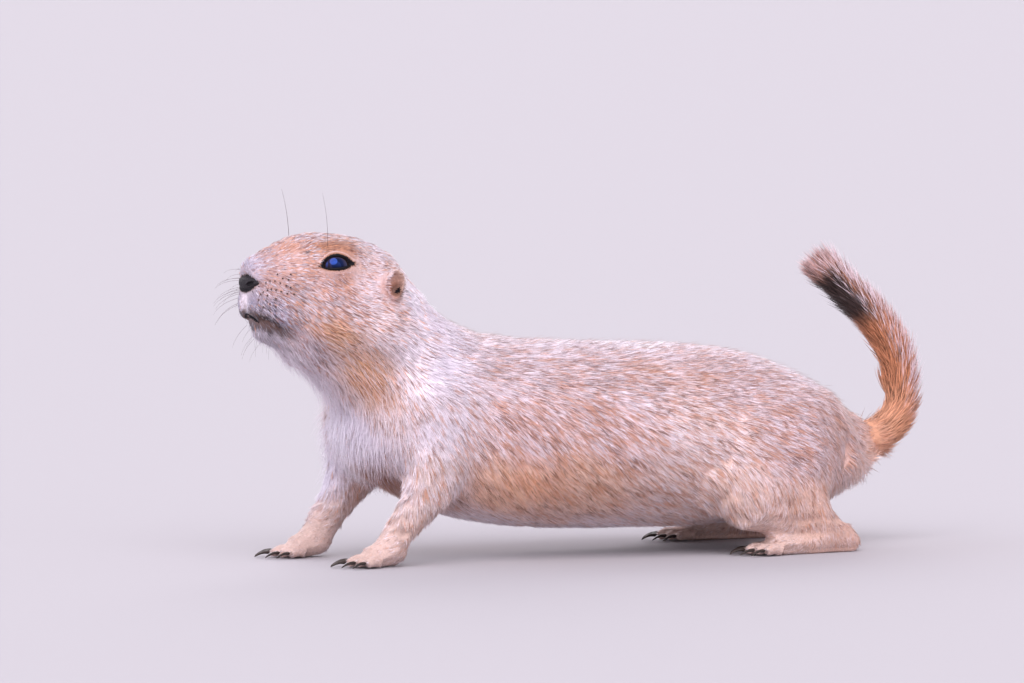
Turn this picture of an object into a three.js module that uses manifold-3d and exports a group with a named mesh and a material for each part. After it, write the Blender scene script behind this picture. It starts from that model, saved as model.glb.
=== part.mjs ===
// A life-size black-tailed prairie dog, standing low on all fours with its head raised and its tail up.
// Millimetres, +Z up. The head points along -X, the animal's left side faces -Y, and the soles rest on Z = 0.
import * as THREE from "three";
import { mergeVertices } from "three/addons/utils/BufferGeometryUtils.js";
import Module from "manifold-3d";

const wasm = await Module();
wasm.setup();

// Driving dimensions
const HEAD_LENGTH = 60; // from the middle of the neck joint to the nose
const BACK_HEIGHT = 87; // top of the back over the belly
const BELLY_HALF_WIDTH = 46;
const BELLY_CLEARANCE = 8; // from the floor to the fur under the belly
const TRUNK_LENGTH = 217; // from the front of the chest to the end of the rump
const TAIL_RADIUS = 9; // half the thickness of the furred tail
const EYE_RADIUS = 6.5;
const PAW_RADIUS = 4.6;
const CLAW_LENGTH = 6.6;
const GAP = 0.3; // left between two pieces that meet

// The head's own frame: forward to the nose, left and up
const HEAD_AT = [-1.4, 0, 101.2];
const HEAD_YAW_DEG = 9;
const HEAD_PITCH_DEG = 10;

// Spacing of the grid that each region is meshed with
const CELL = { trunk: 9, root: 4.4, leg: 6.6, paw: 4.2, face: 3.3, nape: 6.6, chin: 2.9, seat: 9 };

// Small vector helpers
const V = (x, y, z) => new THREE.Vector3(x, y, z);
const rad = THREE.MathUtils.degToRad;
const mix = THREE.MathUtils.lerp;
const clamp = THREE.MathUtils.clamp;

const headFrame = (() => {
  const yaw = rad(HEAD_YAW_DEG);
  const pitch = rad(HEAD_PITCH_DEG);
  const forward = V(-Math.cos(yaw) * Math.cos(pitch), -Math.sin(yaw) * Math.cos(pitch), Math.sin(pitch));
  const left = V(Math.sin(yaw), -Math.cos(yaw), 0);
  const up = forward.clone().cross(left);
  return new THREE.Matrix4().makeBasis(forward, left, up).setPosition(...HEAD_AT);
})();
const bodyFrame = new THREE.Matrix4();
const onHead = (x, y, z) => V(x, y, z).applyMatrix4(headFrame);

// Flesh is a smooth union of chains. A chain is a run of oval sections, given by their middles, their
// height radius and their side radius, joined by tapering limbs and rounded at both ends.
const STEPS_PER_STATION = 4;

function chain(blend, frame, stations) {
  const at = new THREE.CatmullRomCurve3(stations.map((s) => V(...s.at)), false, "catmullrom");
  const size = new THREE.CatmullRomCurve3(stations.map((s) => V(s.r, s.side ?? s.r, 0)), false, "catmullrom");
  const steps = stations.length === 1 ? 0 : (stations.length - 1) * STEPS_PER_STATION;
  const samples = [];
  for (let i = 0; i <= steps; i++) {
    const p = steps ? at.getPoint(i / steps) : V(...stations[0].at);
    const s = steps ? size.getPoint(i / steps) : V(stations[0].r, stations[0].side ?? stations[0].r, 0);
    samples.push({ x: p.x, y: p.y, z: p.z, r: s.x, oval: s.x / s.y });
  }
  return { blend, inverse: frame.clone().invert().elements, samples };
}

// How far a point of the chain's own frame lies outside one limb between two samples.
function limbDistance(a, b, x, y, z) {
  const dx = b.x - a.x;
  const dy = b.y - a.y;
  const dz = b.z - a.z;
  const along = dx * dx + dy * dy + dz * dz;
  const t = along ? clamp(((x - a.x) * dx + (y - a.y) * dy + (z - a.z) * dz) / along, 0, 1) : 0;
  const oval = mix(a.oval, b.oval, t);
  const side = (y - a.y - t * dy) * oval;
  const reach = Math.hypot(x - a.x - t * dx, side, z - a.z - t * dz);
  return (reach - mix(a.r, b.r, t)) / Math.max(1, oval);
}

function chainDistance({ inverse: m, samples }, x, y, z) {
  const u = m[0] * x + m[4] * y + m[8] * z + m[12];
  const v = m[1] * x + m[5] * y + m[9] * z + m[13];
  const w = m[2] * x + m[6] * y + m[10] * z + m[14];
  let least = Infinity;
  for (let i = 0; i < Math.max(1, samples.length - 1); i++)
    least = Math.min(least, limbDistance(samples[i], samples[i + 1] ?? samples[i], u, v, w));
  return least;
}

function smoothUnion(a, b, blend) {
  const h = Math.max(blend - Math.abs(a - b), 0) / blend;
  return Math.min(a, b) - (h * h * blend) / 4;
}

// The trunk is hung between the back and the belly.
const backAt = (share) => BACK_HEIGHT * share;
const trunkStation = (along, back, belly, width) => {
  const top = backAt(back);
  const bottom = BELLY_CLEARANCE * belly;
  return {
    at: [TRUNK_LENGTH * along, 0, (top + bottom) / 2],
    r: (top - bottom) / 2,
    side: BELLY_HALF_WIDTH * width,
  };
};
const TRUNK = chain(1, bodyFrame, [
  trunkStation(0.08, 0.97, 3.2, 0.62),
  trunkStation(0.17, 1.04, 2.0, 0.79),
  trunkStation(0.28, 1.03, 1.35, 0.91),
  trunkStation(0.415, 1.005, 1.1, 0.98),
  trunkStation(0.55, 0.99, 1.0, 1.02),
  trunkStation(0.69, 0.955, 1.1, 0.98),
  trunkStation(0.8, 0.86, 1.3, 0.84),
  trunkStation(0.88, 0.73, 1.9, 0.62),
  trunkStation(0.945, 0.6, 2.6, 0.38),
]);

const NECK = chain(11, bodyFrame, [
  { at: [19, 0, 66], r: 33, side: 31 },
  { at: [7, 0, 82], r: 27.5, side: 27 },
  { at: [-1, -1, 93], r: 22, side: 23 },
]);

// The head's shapes, in the head's frame
const H = HEAD_LENGTH;
const SKULL = chain(6, headFrame, [
  { at: [-0.13 * H, 0, -1.4], r: 17.6, side: 19.5 },
  { at: [0.08 * H, 0, 3.2], r: 21, side: 23 },
  { at: [0.33 * H, 0, 5.3], r: 21.2, side: 21.5 },
  { at: [0.53 * H, 0, 5], r: 19.4, side: 17 },
  { at: [0.68 * H, 0, 2.6], r: 15, side: 12.6 },
  { at: [0.772 * H, 0, 2.1], r: 12, side: 10.2 },
]);
const JAW = chain(5, headFrame, [
  { at: [0.3 * H, 0, -12], r: 12.5, side: 15.5 },
  { at: [0.55 * H, 0, -14.4], r: 9, side: 9.5 },
  { at: [0.765 * H, 0, -14.2], r: 6.2, side: 6.2 },
]);
const THROAT = chain(8, headFrame, [
  { at: [0.4 * H, 0, -17], r: 12, side: 13 },
  { at: [0.13 * H, 0, -23], r: 14, side: 17 },
]);
const cheek = (side) =>
  chain(7, headFrame, [
    { at: [0.08 * H, side * 13, -7], r: 13.5 },
    { at: [0.42 * H, side * 9.5, -7.5], r: 11.5 },
  ]);
const lip = (side) =>
  chain(3, headFrame, [
    { at: [0.66 * H, side * 6.6, -6], r: 8.6 },
    { at: [0.815 * H, side * 4, -6.2], r: 7.6, side: 6.4 },
  ]);
const brow = (side) =>
  chain(6, headFrame, [
    { at: [0.57 * H, side * 10.5, 15], r: 5 },
    { at: [0.34 * H, side * 13.5, 18], r: 5.5 },
  ]);

const EYE_AT = [0.448 * H, 14, 13];
const LID_THICKNESS = 1.1;
const lidMound = (side) =>
  chain(3, headFrame, [{ at: [EYE_AT[0], side * EYE_AT[1], EYE_AT[2]], r: EYE_RADIUS + LID_THICKNESS }]);

const PAIRED = [cheek, lip, brow, lidMound].flatMap((shape) => [shape(1), shape(-1)]);
const HEAD_SHAPES = [SKULL, JAW, THROAT, ...PAIRED];

// Limbs: side is -1 for the left and 1 for the right, and ahead moves a leg to where it stands.
const FORELEG = { spread: 28, ahead: { "-1": 2, 1: 11 } };
const HINDLEG = { spread: 38, ahead: { "-1": 0, 1: 3 } };
const sides = [
  { side: -1, name: "left" },
  { side: 1, name: "right" },
];

const foreleg = (side) => {
  const x = -FORELEG.ahead[side];
  const y = side * FORELEG.spread;
  return chain(8, bodyFrame, [
    { at: [x + 18, y * 0.84, 52], r: 18, side: 13 },
    { at: [x + 18, y * 1.04, 38], r: 13.5, side: 10.5 },
    { at: [x + 11, y * 1.05, 25], r: 9.6, side: 8.6 },
    { at: [x + 3, y, 14], r: 7.2, side: 6.8 },
    { at: [x, y, 8.5], r: 6, side: 6 },
  ]);
};
const palm = (side) => {
  const x = -FORELEG.ahead[side];
  const y = side * FORELEG.spread;
  return chain(4, bodyFrame, [
    { at: [x, y, 6.4], r: 5.6, side: 6 },
    { at: [x - 9, y, PAW_RADIUS - 0.5], r: PAW_RADIUS, side: 7.2 },
  ]);
};
const haunch = (side) => {
  const x = -HINDLEG.ahead[side];
  const y = side * HINDLEG.spread;
  return chain(11, bodyFrame, [
    { at: [x + 180, y * 0.6, 42], r: 21, side: 14 },
    { at: [x + 166, y * 0.85, 38], r: 23, side: 13.5 },
    { at: [x + 153, y * 1.02, 28], r: 16, side: 10 },
  ]);
};
const shank = (side) => {
  const x = -HINDLEG.ahead[side];
  const y = side * HINDLEG.spread;
  return chain(7, bodyFrame, [
    { at: [x + 150, y * 1.03, 24], r: 12.5, side: 9 },
    { at: [x + 176, y, 16], r: 9, side: 8 },
    { at: [x + 192, y * 0.97, 8.5], r: 6.6, side: 6.2 },
  ]);
};
const sole = (side) => {
  const x = -HINDLEG.ahead[side];
  const y = side * HINDLEG.spread;
  return chain(4, bodyFrame, [
    { at: [x + 194, y * 0.97, 5.4], r: 6, side: 6 },
    { at: [x + 176, y, 4.6], r: 5.2, side: 6.4 },
    { at: [x + 161, y * 1.03, PAW_RADIUS - 0.5], r: PAW_RADIUS, side: 8 },
  ]);
};

// The tail leaves the rump low, turns up and leans forward over the back.
const TAIL_POINTS = [
  V(208, 0, 41),
  V(223, 0, 43),
  V(232, 0, 51),
  V(234, 0, 62),
  V(231.5, 0, 75),
  V(224, 0, 88),
  V(213, 0, 99.5),
  V(202, 0, 109.5),
];
const tailPath = new THREE.CatmullRomCurve3(TAIL_POINTS);
const TAIL_ROOT_ENDS = 0.36; // share of the path where the long brush takes over from short fur
const TAIL_CORE = 0.5 * TAIL_RADIUS;
const tailRoot = chain(
  10,
  bodyFrame,
  [0, 0.12, 0.25, 0.4, 0.5].map((t, i) => ({
    at: tailPath.getPointAt(t).toArray(),
    r: [1.25, 1.1, 1, 0.92, 0.88][i] * TAIL_RADIUS,
  })),
);

const PARTS = [
  TRUNK,
  NECK,
  ...HEAD_SHAPES,
  foreleg(-1),
  foreleg(1),
  palm(-1),
  palm(1),
  haunch(-1),
  haunch(1),
  shank(-1),
  shank(1),
  sole(-1),
  sole(1),
  tailRoot,
];
const flesh = (x, y, z) =>
  PARTS.reduce((d, part) => smoothUnion(d, chainDistance(part, x, y, z), part.blend), Infinity);

// Grid lines from low to high, with a spacing that depends on the place, and the same mirrored about zero
function gridLines(low, high, spacing) {
  const lines = [low];
  while (lines.at(-1) < high) lines.push(lines.at(-1) + spacing(lines.at(-1)));
  return lines;
}
function mirroredLines(half, spacing) {
  const right = gridLines(spacing(0) / 2, half, spacing);
  return [...right.map((v) => -v).reverse(), ...right];
}

// Meshing: one vertex in each grid cell that the surface crosses, then a quad round each crossed grid edge.
function meshField(field, lines) {
  const [xs, ys, zs] = lines;
  const [nx, ny, nz] = lines.map((axis) => axis.length);
  const wall = 0.8; // the outermost cells are left empty, so that the surface closes there
  const low = lines.map((axis) => mix(axis[0], axis[1], wall));
  const high = lines.map((axis) => mix(axis.at(-1), axis.at(-2), wall));
  const boxed = (x, y, z) =>
    Math.max(field(x, y, z), low[0] - x, x - high[0], low[1] - y, y - high[1], low[2] - z, z - high[2]);
  const index = (i, j, k) => i + nx * (j + ny * k);
  const values = new Float64Array(nx * ny * nz);
  for (let k = 0; k < nz; k++)
    for (let j = 0; j < ny; j++)
      for (let i = 0; i < nx; i++) values[index(i, j, k)] = boxed(xs[i], ys[j], zs[k]);

  const corners = [0, 1, 2, 3, 4, 5, 6, 7].map((c) => [c & 1, (c >> 1) & 1, (c >> 2) & 1]);
  const edges = [];
  for (let a = 0; a < 8; a++) for (const bit of [1, 2, 4]) if (!(a & bit)) edges.push([a, a | bit]);
  const vertexOf = new Map();
  const points = [];
  const cells = [];
  for (let k = 0; k < nz - 1; k++)
    for (let j = 0; j < ny - 1; j++)
      for (let i = 0; i < nx - 1; i++) {
        const corner = corners.map(([a, b, c]) => values[index(i + a, j + b, k + c)]);
        const middle = V(0, 0, 0);
        let crossings = 0;
        for (const [a, b] of edges) {
          if (corner[a] < 0 === corner[b] < 0) continue;
          const t = corner[a] / (corner[a] - corner[b]);
          middle.add(V(...corners[a]).lerp(V(...corners[b]), t));
          crossings++;
        }
        if (!crossings) continue;
        middle.divideScalar(crossings);
        const size = V(xs[i + 1] - xs[i], ys[j + 1] - ys[j], zs[k + 1] - zs[k]);
        vertexOf.set(index(i, j, k), points.length);
        points.push(middle.multiply(size).add(V(xs[i], ys[j], zs[k])));
        cells.push(Math.min(size.x, size.y, size.z));
      }

  const step = [1, nx, nx * ny];
  const triangles = [];
  for (const [cell] of vertexOf)
    for (let axis = 0; axis < 3; axis++) {
      const [d1, d2] = [step[(axis + 1) % 3], step[(axis + 2) % 3]];
      const near = values[cell] < 0;
      if (near === values[cell + step[axis]] < 0) continue;
      const ring = [cell, cell - d1, cell - d1 - d2, cell - d2].map((c) => vertexOf.get(c));
      if (ring.includes(undefined)) continue;
      const [a, b, c, d] = near ? ring : ring.reverse();
      if (points[a].distanceToSquared(points[c]) < points[b].distanceToSquared(points[d]))
        triangles.push(a, b, c, a, c, d);
      else triangles.push(a, b, d, b, c, d);
    }
  points.forEach((p, n) => slideOnto(boxed, p, cells[n] / 3));
  return indexed(points, triangles);
}

// The slope of a field at a point, by small steps along each axis
const NUDGE = 0.05;
function slopeOf(field, p) {
  const d = field(p.x, p.y, p.z);
  const dx = field(p.x + NUDGE, p.y, p.z) - d;
  const dy = field(p.x, p.y + NUDGE, p.z) - d;
  const dz = field(p.x, p.y, p.z + NUDGE) - d;
  return V(dx, dy, dz).divideScalar(NUDGE);
}

// A vertex slides along the slope of the field until it lies on the surface.
function slideOnto(field, p, most) {
  const SLIDES = 3;
  for (let n = 0; n < SLIDES; n++) {
    const slope = slopeOf(field, p);
    const move = -field(p.x, p.y, p.z) / Math.max(slope.lengthSq(), 0.2);
    p.addScaledVector(slope, clamp(move, -most, most));
  }
}

function indexed(points, triangles) {
  const geometry = new THREE.BufferGeometry();
  const places = points.flatMap((p) => p.toArray());
  geometry.setAttribute("position", new THREE.Float32BufferAttribute(places, 3));
  geometry.setIndex(triangles);
  return geometry;
}

// Between three.js geometries and solids that can be cut and joined
function solid(geometry) {
  const bare = new THREE.BufferGeometry();
  bare.setAttribute("position", geometry.getAttribute("position"));
  if (geometry.index) bare.setIndex(geometry.index);
  const merged = mergeVertices(bare, 1e-4);
  return new wasm.Manifold(
    new wasm.Mesh({
      numProp: 3,
      vertProperties: new Float32Array(merged.getAttribute("position").array),
      triVerts: new Uint32Array(merged.index.array),
    }),
  );
}

// Thinning: a vertex moves onto a neighbour when the neighbour lies within the tolerance of every plane that
// the vertex stands for. It clears the slivers that cuts leave, and triangles that flat regions don't need.
const LEAST_HEIGHT = 0.02; // of a triangle, so that none is left as a needle

function thinned(points, faces, tolerance) {
  const around = points.map(() => new Set());
  faces.forEach((face, f) => face.forEach((v) => around[v].add(f)));
  const normalOf = (a, b, c) => b.clone().sub(a).cross(c.clone().sub(a));
  const planes = points.map(() => []);
  for (const face of faces) {
    const [a, b, c] = face.map((v) => points[v]);
    const normal = normalOf(a, b, c);
    if (normal.length() < 1e-5) continue;
    normal.normalize();
    const plane = { normal, offset: normal.dot(a) };
    face.forEach((v) => planes[v].push(plane));
  }
  const neighbours = (v) => {
    const found = new Set();
    for (const f of around[v]) faces[f].forEach((u) => found.add(u));
    found.delete(v);
    return found;
  };
  const stray = (v, to) =>
    planes[v].reduce((most, { normal, offset }) => Math.max(most, Math.abs(normal.dot(to) - offset)), 0);
  const heightOf = (normal, corners) => {
    const [a, b, c] = corners;
    return normal.length() / Math.max(a.distanceTo(b), b.distanceTo(c), c.distanceTo(a));
  };
  const staysSound = (v, u) => {
    const ring = neighbours(v);
    const shared = [...neighbours(u)].filter((w) => ring.has(w));
    if (shared.length !== 2 || ring.size < 3 || neighbours(u).size < 3) return false;
    for (const f of around[v]) {
      if (faces[f].includes(u)) continue;
      const old = faces[f].map((w) => points[w]);
      const fresh = faces[f].map((w) => points[w === v ? u : w]);
      const [before, after] = [normalOf(...old), normalOf(...fresh)];
      const height = heightOf(after, fresh);
      if (height < LEAST_HEIGHT && height < heightOf(before, old)) return false;
      const slender = heightOf(before, old) < LEAST_HEIGHT;
      if (!slender && after.dot(before) < 0.3 * after.length() * before.length()) return false;
    }
    return true;
  };
  for (const share of [0.1, 0.3, 0.6, 1, 1])
    for (let v = 0; v < points.length; v++) {
      if (!around[v].size) continue;
      const choices = [...neighbours(v)]
        .map((u) => ({ u, cost: stray(v, points[u]) }))
        .filter(({ cost }) => cost < tolerance * share)
        .sort((a, b) => a.cost - b.cost);
      const choice = choices.find(({ u }) => staysSound(v, u));
      if (!choice) continue;
      for (const f of around[v]) {
        if (faces[f].includes(choice.u)) {
          faces[f].forEach((w) => w !== v && around[w].delete(f));
          faces[f] = null;
        } else {
          faces[f] = faces[f].map((w) => (w === v ? choice.u : w));
          around[choice.u].add(f);
        }
      }
      around[v].clear();
      planes[choice.u].push(...planes[v]);
    }
  return faces.filter((face) => face);
}

function geometryOf(made, tolerance) {
  const { vertProperties: at, triVerts, numProp } = made.getMesh();
  const points = [];
  for (let i = 0; i < at.length; i += numProp) points.push(V(at[i], at[i + 1], at[i + 2]));
  const faces = [];
  for (let i = 0; i < triVerts.length; i += 3) faces.push([...triVerts.subarray(i, i + 3)]);
  const kept = thinned(points, faces, tolerance);
  const used = [...new Set(kept.flat())];
  const numberOf = new Map(used.map((v, n) => [v, n]));
  const geometry = indexed(used.map((v) => points[v]), kept.flat().map((v) => numberOf.get(v)));
  geometry.computeVertexNormals();
  return geometry;
}

const largest = (made) => made.decompose().reduce((a, b) => (b.volume() > a.volume() ? b : a));
const placed = (geometry, matrix) => solid(geometry.clone().applyMatrix4(matrix));
const skinnedIn = (low, high, cell) => {
  const lines = low.map((from, axis) => gridLines(from, high[axis], () => cell));
  return solid(meshField(flesh, lines));
};

// A frame at a point whose own Z runs along a direction
function facing(at, towards, roughlyUp = V(0, 1, 0)) {
  const z = towards.clone().normalize();
  const x = roughlyUp.clone().cross(z).normalize();
  const y = z.clone().cross(x);
  return new THREE.Matrix4().makeBasis(x, y, z).setPosition(at);
}

// A cutting tool: everything ahead of a plane
const FAR = 400;
function ahead(at, normal) {
  const slab = new THREE.BoxGeometry(FAR, FAR, FAR).translate(0, 0, FAR / 2);
  return placed(slab, facing(at, normal));
}
const shifted = (at, normal, by) => at.clone().addScaledVector(normal, by);

// The part of a solid ahead of a plane, and the part behind it, with half the gap on each side
function split(made, at, towards) {
  const normal = towards.clone().normalize();
  return {
    front: made.intersect(ahead(shifted(at, normal, GAP / 2), normal)),
    back: made.intersect(ahead(shifted(at, normal, -GAP / 2), normal.clone().negate())),
  };
}

// A closed tube of oval section that follows a curve, with its size given along the way
function sweep(curve, steps, around, radiiAt, roughlyUp) {
  const places = [];
  const faces = [];
  for (let i = 0; i <= steps; i++) {
    const t = i / steps;
    const frame = facing(curve.getPoint(t), curve.getTangent(t), roughlyUp);
    const [across, through] = radiiAt(t);
    for (let j = 0; j < around; j++) {
      const angle = (2 * Math.PI * j) / around;
      places.push(V(across * Math.cos(angle), through * Math.sin(angle), 0).applyMatrix4(frame));
    }
  }
  for (let i = 0; i < steps; i++)
    for (let j = 0; j < around; j++) {
      const [a, b] = [i * around + j, i * around + ((j + 1) % around)];
      faces.push(a, b, b + around, a, b + around, a + around);
    }
  const last = steps * around;
  for (let j = 1; j < around - 1; j++) {
    faces.push(0, j + 1, j);
    faces.push(last, last + j, last + j + 1);
  }
  return indexed(places, faces);
}

// Materials
const look = (color, roughness = 0.9) => new THREE.MeshStandardMaterial({ color, roughness, metalness: 0 });
const FUR = look("#cba98f");
const PALE_FUR = look("#e4d8ce");
const TAIL_FUR = look("#c08a5c");
const DARK_FUR = look("#5a4336");
const NOSE = look("#4b3a3d", 0.55);
const EYE = look("#0b0b10", 0.08);
const CLAW = look("#2e2622", 0.5);
const WHISKER = look("#574744", 0.6);

const root = new THREE.Group();
const nodes = {};
function node(name, made, material, tolerance = 0.1) {
  const mesh = new THREE.Mesh(geometryOf(largest(made), tolerance), material);
  mesh.name = name;
  nodes[name] = mesh;
  root.add(mesh);
}

// Planes that part the head, neck and trunk
const HEAD_PLANE = { at: V(1, 0, 88.5), normal: V(-0.66, 0, 0.75) };
const NECK_PLANE = { at: V(14, 0, 73), normal: V(-0.5, 0, 0.866) };
const CHEST_ENDS = V(64, 0, 0);
const BELLY_ENDS = V(146, 0, 0);
const TAIL_STARTS = { at: tailPath.getPointAt(0.13), normal: tailPath.getTangentAt(0.13) };
const BRUSH_STARTS = {
  at: tailPath.getPointAt(TAIL_ROOT_ENDS),
  normal: tailPath.getTangentAt(TAIL_ROOT_ENDS),
};
const BACKWARD = V(1, 0, 0);

// What each leg takes from the body: all that lies within a few millimetres of its own chains. The same
// mesh, grown by the gap, is cut away from the body, so the two faces stay apart everywhere.
const SEAT = { fore: 3, hind: 4, outward: 8 };
function legSeat(side, fore) {
  const chains = fore ? [foreleg(side), palm(side)] : [haunch(side), shank(side), sole(side)];
  const seat = fore ? SEAT.fore : SEAT.hind;
  const field = (x, y, z) => {
    const out = side * SEAT.outward * THREE.MathUtils.smoothstep(z, 30, 56);
    return Math.min(...chains.map((c) => chainDistance(c, x, y - out, z))) - seat;
  };
  const xs = fore ? gridLines(-46, 54, () => CELL.seat) : gridLines(128, 226, () => CELL.seat);
  const zs = gridLines(-18, 86, () => CELL.seat);
  const ys = mirroredLines(74, () => CELL.seat).filter((y) => y * side > -6);
  const geometry = meshField(field, [xs, ys, zs]);
  const grown = geometry.clone();
  const place = grown.getAttribute("position");
  for (let i = 0; i < place.count; i++) {
    const p = V(0, 0, 0).fromBufferAttribute(place, i);
    p.addScaledVector(slopeOf(field, p).normalize(), GAP);
    place.setXYZ(i, p.x, p.y, p.z);
  }
  return { side, fore, inner: solid(geometry), outer: solid(grown) };
}
const seats = sides.flatMap(({ side }) => [legSeat(side, true), legSeat(side, false)]);
const lessLegs = (made) => seats.reduce((rest, seat) => rest.subtract(seat.outer), made);

const WRIST = V(0, 0, 12);
const ANKLE = V(0, 0, 12.5);
const UPWARD = V(0, 0, 1);

// Trunk, neck and tail root share one mesh, finer along the neck and the root of the tail.
const bodyLines = [
  gridLines(-42, 256, (x) => {
    if (x > 196) return CELL.root;
    if (x > 60 && x < 136) return 1.5 * CELL.trunk;
    return x < 34 ? 0.8 * CELL.trunk : CELL.trunk;
  }),
  mirroredLines(60, () => CELL.trunk),
  gridLines(2, 122, (z) => (z > 84 ? 0.8 * CELL.trunk : CELL.trunk)),
];
const body = lessLegs(solid(meshField(flesh, bodyLines)));
const { front: upperNeck, back: lower } = split(body, NECK_PLANE.at, NECK_PLANE.normal);
const { front: rear, back: chest } = split(lower, CHEST_ENDS, BACKWARD);
const { front: hind, back: belly } = split(rear, BELLY_ENDS, BACKWARD);
const { front: tailStart, back: rump } = split(hind, TAIL_STARTS.at, TAIL_STARTS.normal);
node("neck", split(upperNeck, HEAD_PLANE.at, HEAD_PLANE.normal).back, PALE_FUR);
node("chest", chest, PALE_FUR);
node("belly", belly, FUR);
node("rump", rump, FUR);
node("tail_root", split(tailStart, BRUSH_STARTS.at, BRUSH_STARTS.normal).back, TAIL_FUR);

// Head: the eyes, the mouth, the nose and the ears are cut out of it or set on it
const onHeadField = (x, y, z) => flesh(...onHead(x, y, z).toArray());
const headLines = [
  gridLines(-44, 66, (x) => (x < -6 ? CELL.nape : x < 34 ? 1.25 * CELL.face : CELL.face)),
  mirroredLines(34, () => 1.1 * CELL.face),
  gridLines(-52, 33, (z) => (z < -24 ? CELL.nape : 1.1 * CELL.face)),
];
const headFlesh = placed(meshField(onHeadField, headLines), headFrame);
let head = split(headFlesh, HEAD_PLANE.at, HEAD_PLANE.normal).front;

const EYE_GAZE = [0.3, 0.92, 0.2];
const EYE_OPENING = { length: 14, height: 8 };
const LID_RIM = 0.75; // half the thickness of the bare rim of the lids

// The almond outline of the open eye, seen along the gaze, with its front corner towards the nose
function almond() {
  const { length, height } = EYE_OPENING;
  const half = length / 2;
  const shape = new THREE.Shape();
  shape.moveTo(-half, -0.6);
  shape.quadraticCurveTo(-0.25 * half, height * 1.12, half, -0.2);
  shape.quadraticCurveTo(0.1 * half, -height * 0.82, -half, -0.6);
  return shape;
}
// The rim of the lids: a thin ring along that outline, lying on the ball of the eye
function lidRim() {
  const reach = EYE_RADIUS + GAP + LID_RIM;
  const ring = almond().getSpacedPoints(16).slice(0, 16);
  const path = new THREE.CatmullRomCurve3(
    ring.map(({ x, y }) => V(x, y, Math.sqrt(Math.max(reach ** 2 - x * x - y * y, 1)))),
    true,
  );
  return new THREE.TubeGeometry(path, 16, LID_RIM, 5, true);
}
for (const { side, name } of sides) {
  const mirrored = -side; // the head's own frame has left as positive
  const middle = onHead(EYE_AT[0], mirrored * EYE_AT[1], EYE_AT[2]);
  const gaze = V(EYE_GAZE[0], mirrored * EYE_GAZE[1], EYE_GAZE[2]).transformDirection(headFrame);
  const frame = facing(middle, gaze, V(0.08, 0, 1).transformDirection(headFrame));
  const ball = (radius) => placed(new THREE.SphereGeometry(radius, 14, 9), frame);
  const nosewards = new THREE.Matrix4().makeScale(side, 1, 1);
  const onEye = (geometry) => {
    const turned = geometry.applyMatrix4(nosewards);
    if (side < 0 && turned.index) turned.index.array.reverse();
    const corners = [...Array(turned.getAttribute("position").count).keys()];
    if (side < 0 && !turned.index) turned.setIndex(corners.reverse());
    return placed(turned, frame);
  };
  const opening = new THREE.ExtrudeGeometry(almond(), { depth: 12, bevelEnabled: false, curveSegments: 7 });
  head = head.subtract(onEye(opening)).add(onEye(lidRim())).subtract(ball(EYE_RADIUS + GAP));
  node(`eye_${name}`, ball(EYE_RADIUS), EYE);
}

const MOUTH = {
  front: onHead(0.94 * H, 0, -11.8),
  corner: onHead(0.61 * H, 0, -16.9),
};
const mouthRun = MOUTH.corner.clone().sub(MOUTH.front);
const mouthNormal = mouthRun.clone().cross(V(0, 1, 0).transformDirection(headFrame)).normalize();
if (mouthNormal.z > 0) mouthNormal.negate();
const jawBack = mouthRun.clone().negate().normalize();
const LIP_GAP = 0.5;
const chinLines = [
  gridLines(30, 64, () => CELL.chin),
  mirroredLines(17, () => CELL.chin),
  gridLines(-34, 2, () => CELL.chin),
];
const chinFlesh = placed(meshField(onHeadField, chinLines), headFrame);
const chinTool = ahead(shifted(MOUTH.front, mouthNormal, LIP_GAP / 2), mouthNormal).intersect(
  ahead(shifted(MOUTH.corner, jawBack, GAP / 2), jawBack),
);
const chinRoom = ahead(shifted(MOUTH.front, mouthNormal, -LIP_GAP / 2), mouthNormal).intersect(
  ahead(shifted(MOUTH.corner, jawBack, -GAP / 2), jawBack),
);
node("lower_jaw", chinFlesh.intersect(chinTool), PALE_FUR);
head = head.subtract(chinRoom);

// Nose pad with two slanting nostrils
const NOSE_AT = onHead(0.915 * H, 0, 1);
const noseRadii = [4.3, 6.3, 4];
const padShape = (grow) => {
  const shape = new THREE.SphereGeometry(1, 12, 8).scale(...noseRadii.map((r) => r + grow));
  return placed(shape, new THREE.Matrix4().extractRotation(headFrame).setPosition(NOSE_AT));
};
head = head.subtract(padShape(GAP));
let pad = padShape(0);
for (const side of [-1, 1]) {
  const nostril = new THREE.SphereGeometry(1, 7, 5).scale(1.6, 1.7, 0.95).rotateX(side * 0.5);
  const at = onHead(0.915 * H + 3.2, side * 3.7, 0.7);
  pad = pad.subtract(placed(nostril, new THREE.Matrix4().extractRotation(headFrame).setPosition(at)));
}
node("nose", pad, NOSE);

// Ears: low cups that open forward and outward, each set in a pocket of the head
const EAR_AT = [0.045 * H, 22.6, 9.4];
const EAR_RADII = [5.1, 4.8, 6.5];
const EAR_CUP = { at: [1.6, 2.6, 0.4], radii: [4.1, 3.9, 5.4] };
const EAR_TURN = 0.45;
for (const { side, name } of sides) {
  const mirrored = -side;
  const middle = onHead(EAR_AT[0], mirrored * EAR_AT[1], EAR_AT[2]);
  const turned = new THREE.Matrix4().makeRotationZ(mirrored * EAR_TURN);
  const frame = new THREE.Matrix4().extractRotation(headFrame).multiply(turned).setPosition(middle);
  const shell = (grow) => {
    const shape = new THREE.SphereGeometry(1, 12, 9).scale(...EAR_RADII.map((r) => r + grow));
    return placed(shape, frame);
  };
  const [cupX, cupY, cupZ] = EAR_CUP.at;
  const cupFrame = frame.clone().setPosition(V(cupX, mirrored * cupY, cupZ).applyMatrix4(frame));
  const cup = placed(new THREE.SphereGeometry(1, 10, 7).scale(...EAR_CUP.radii), cupFrame);
  node(`ear_${name}`, shell(0).subtract(cup), FUR);
  head = head.subtract(shell(GAP));
}

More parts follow.
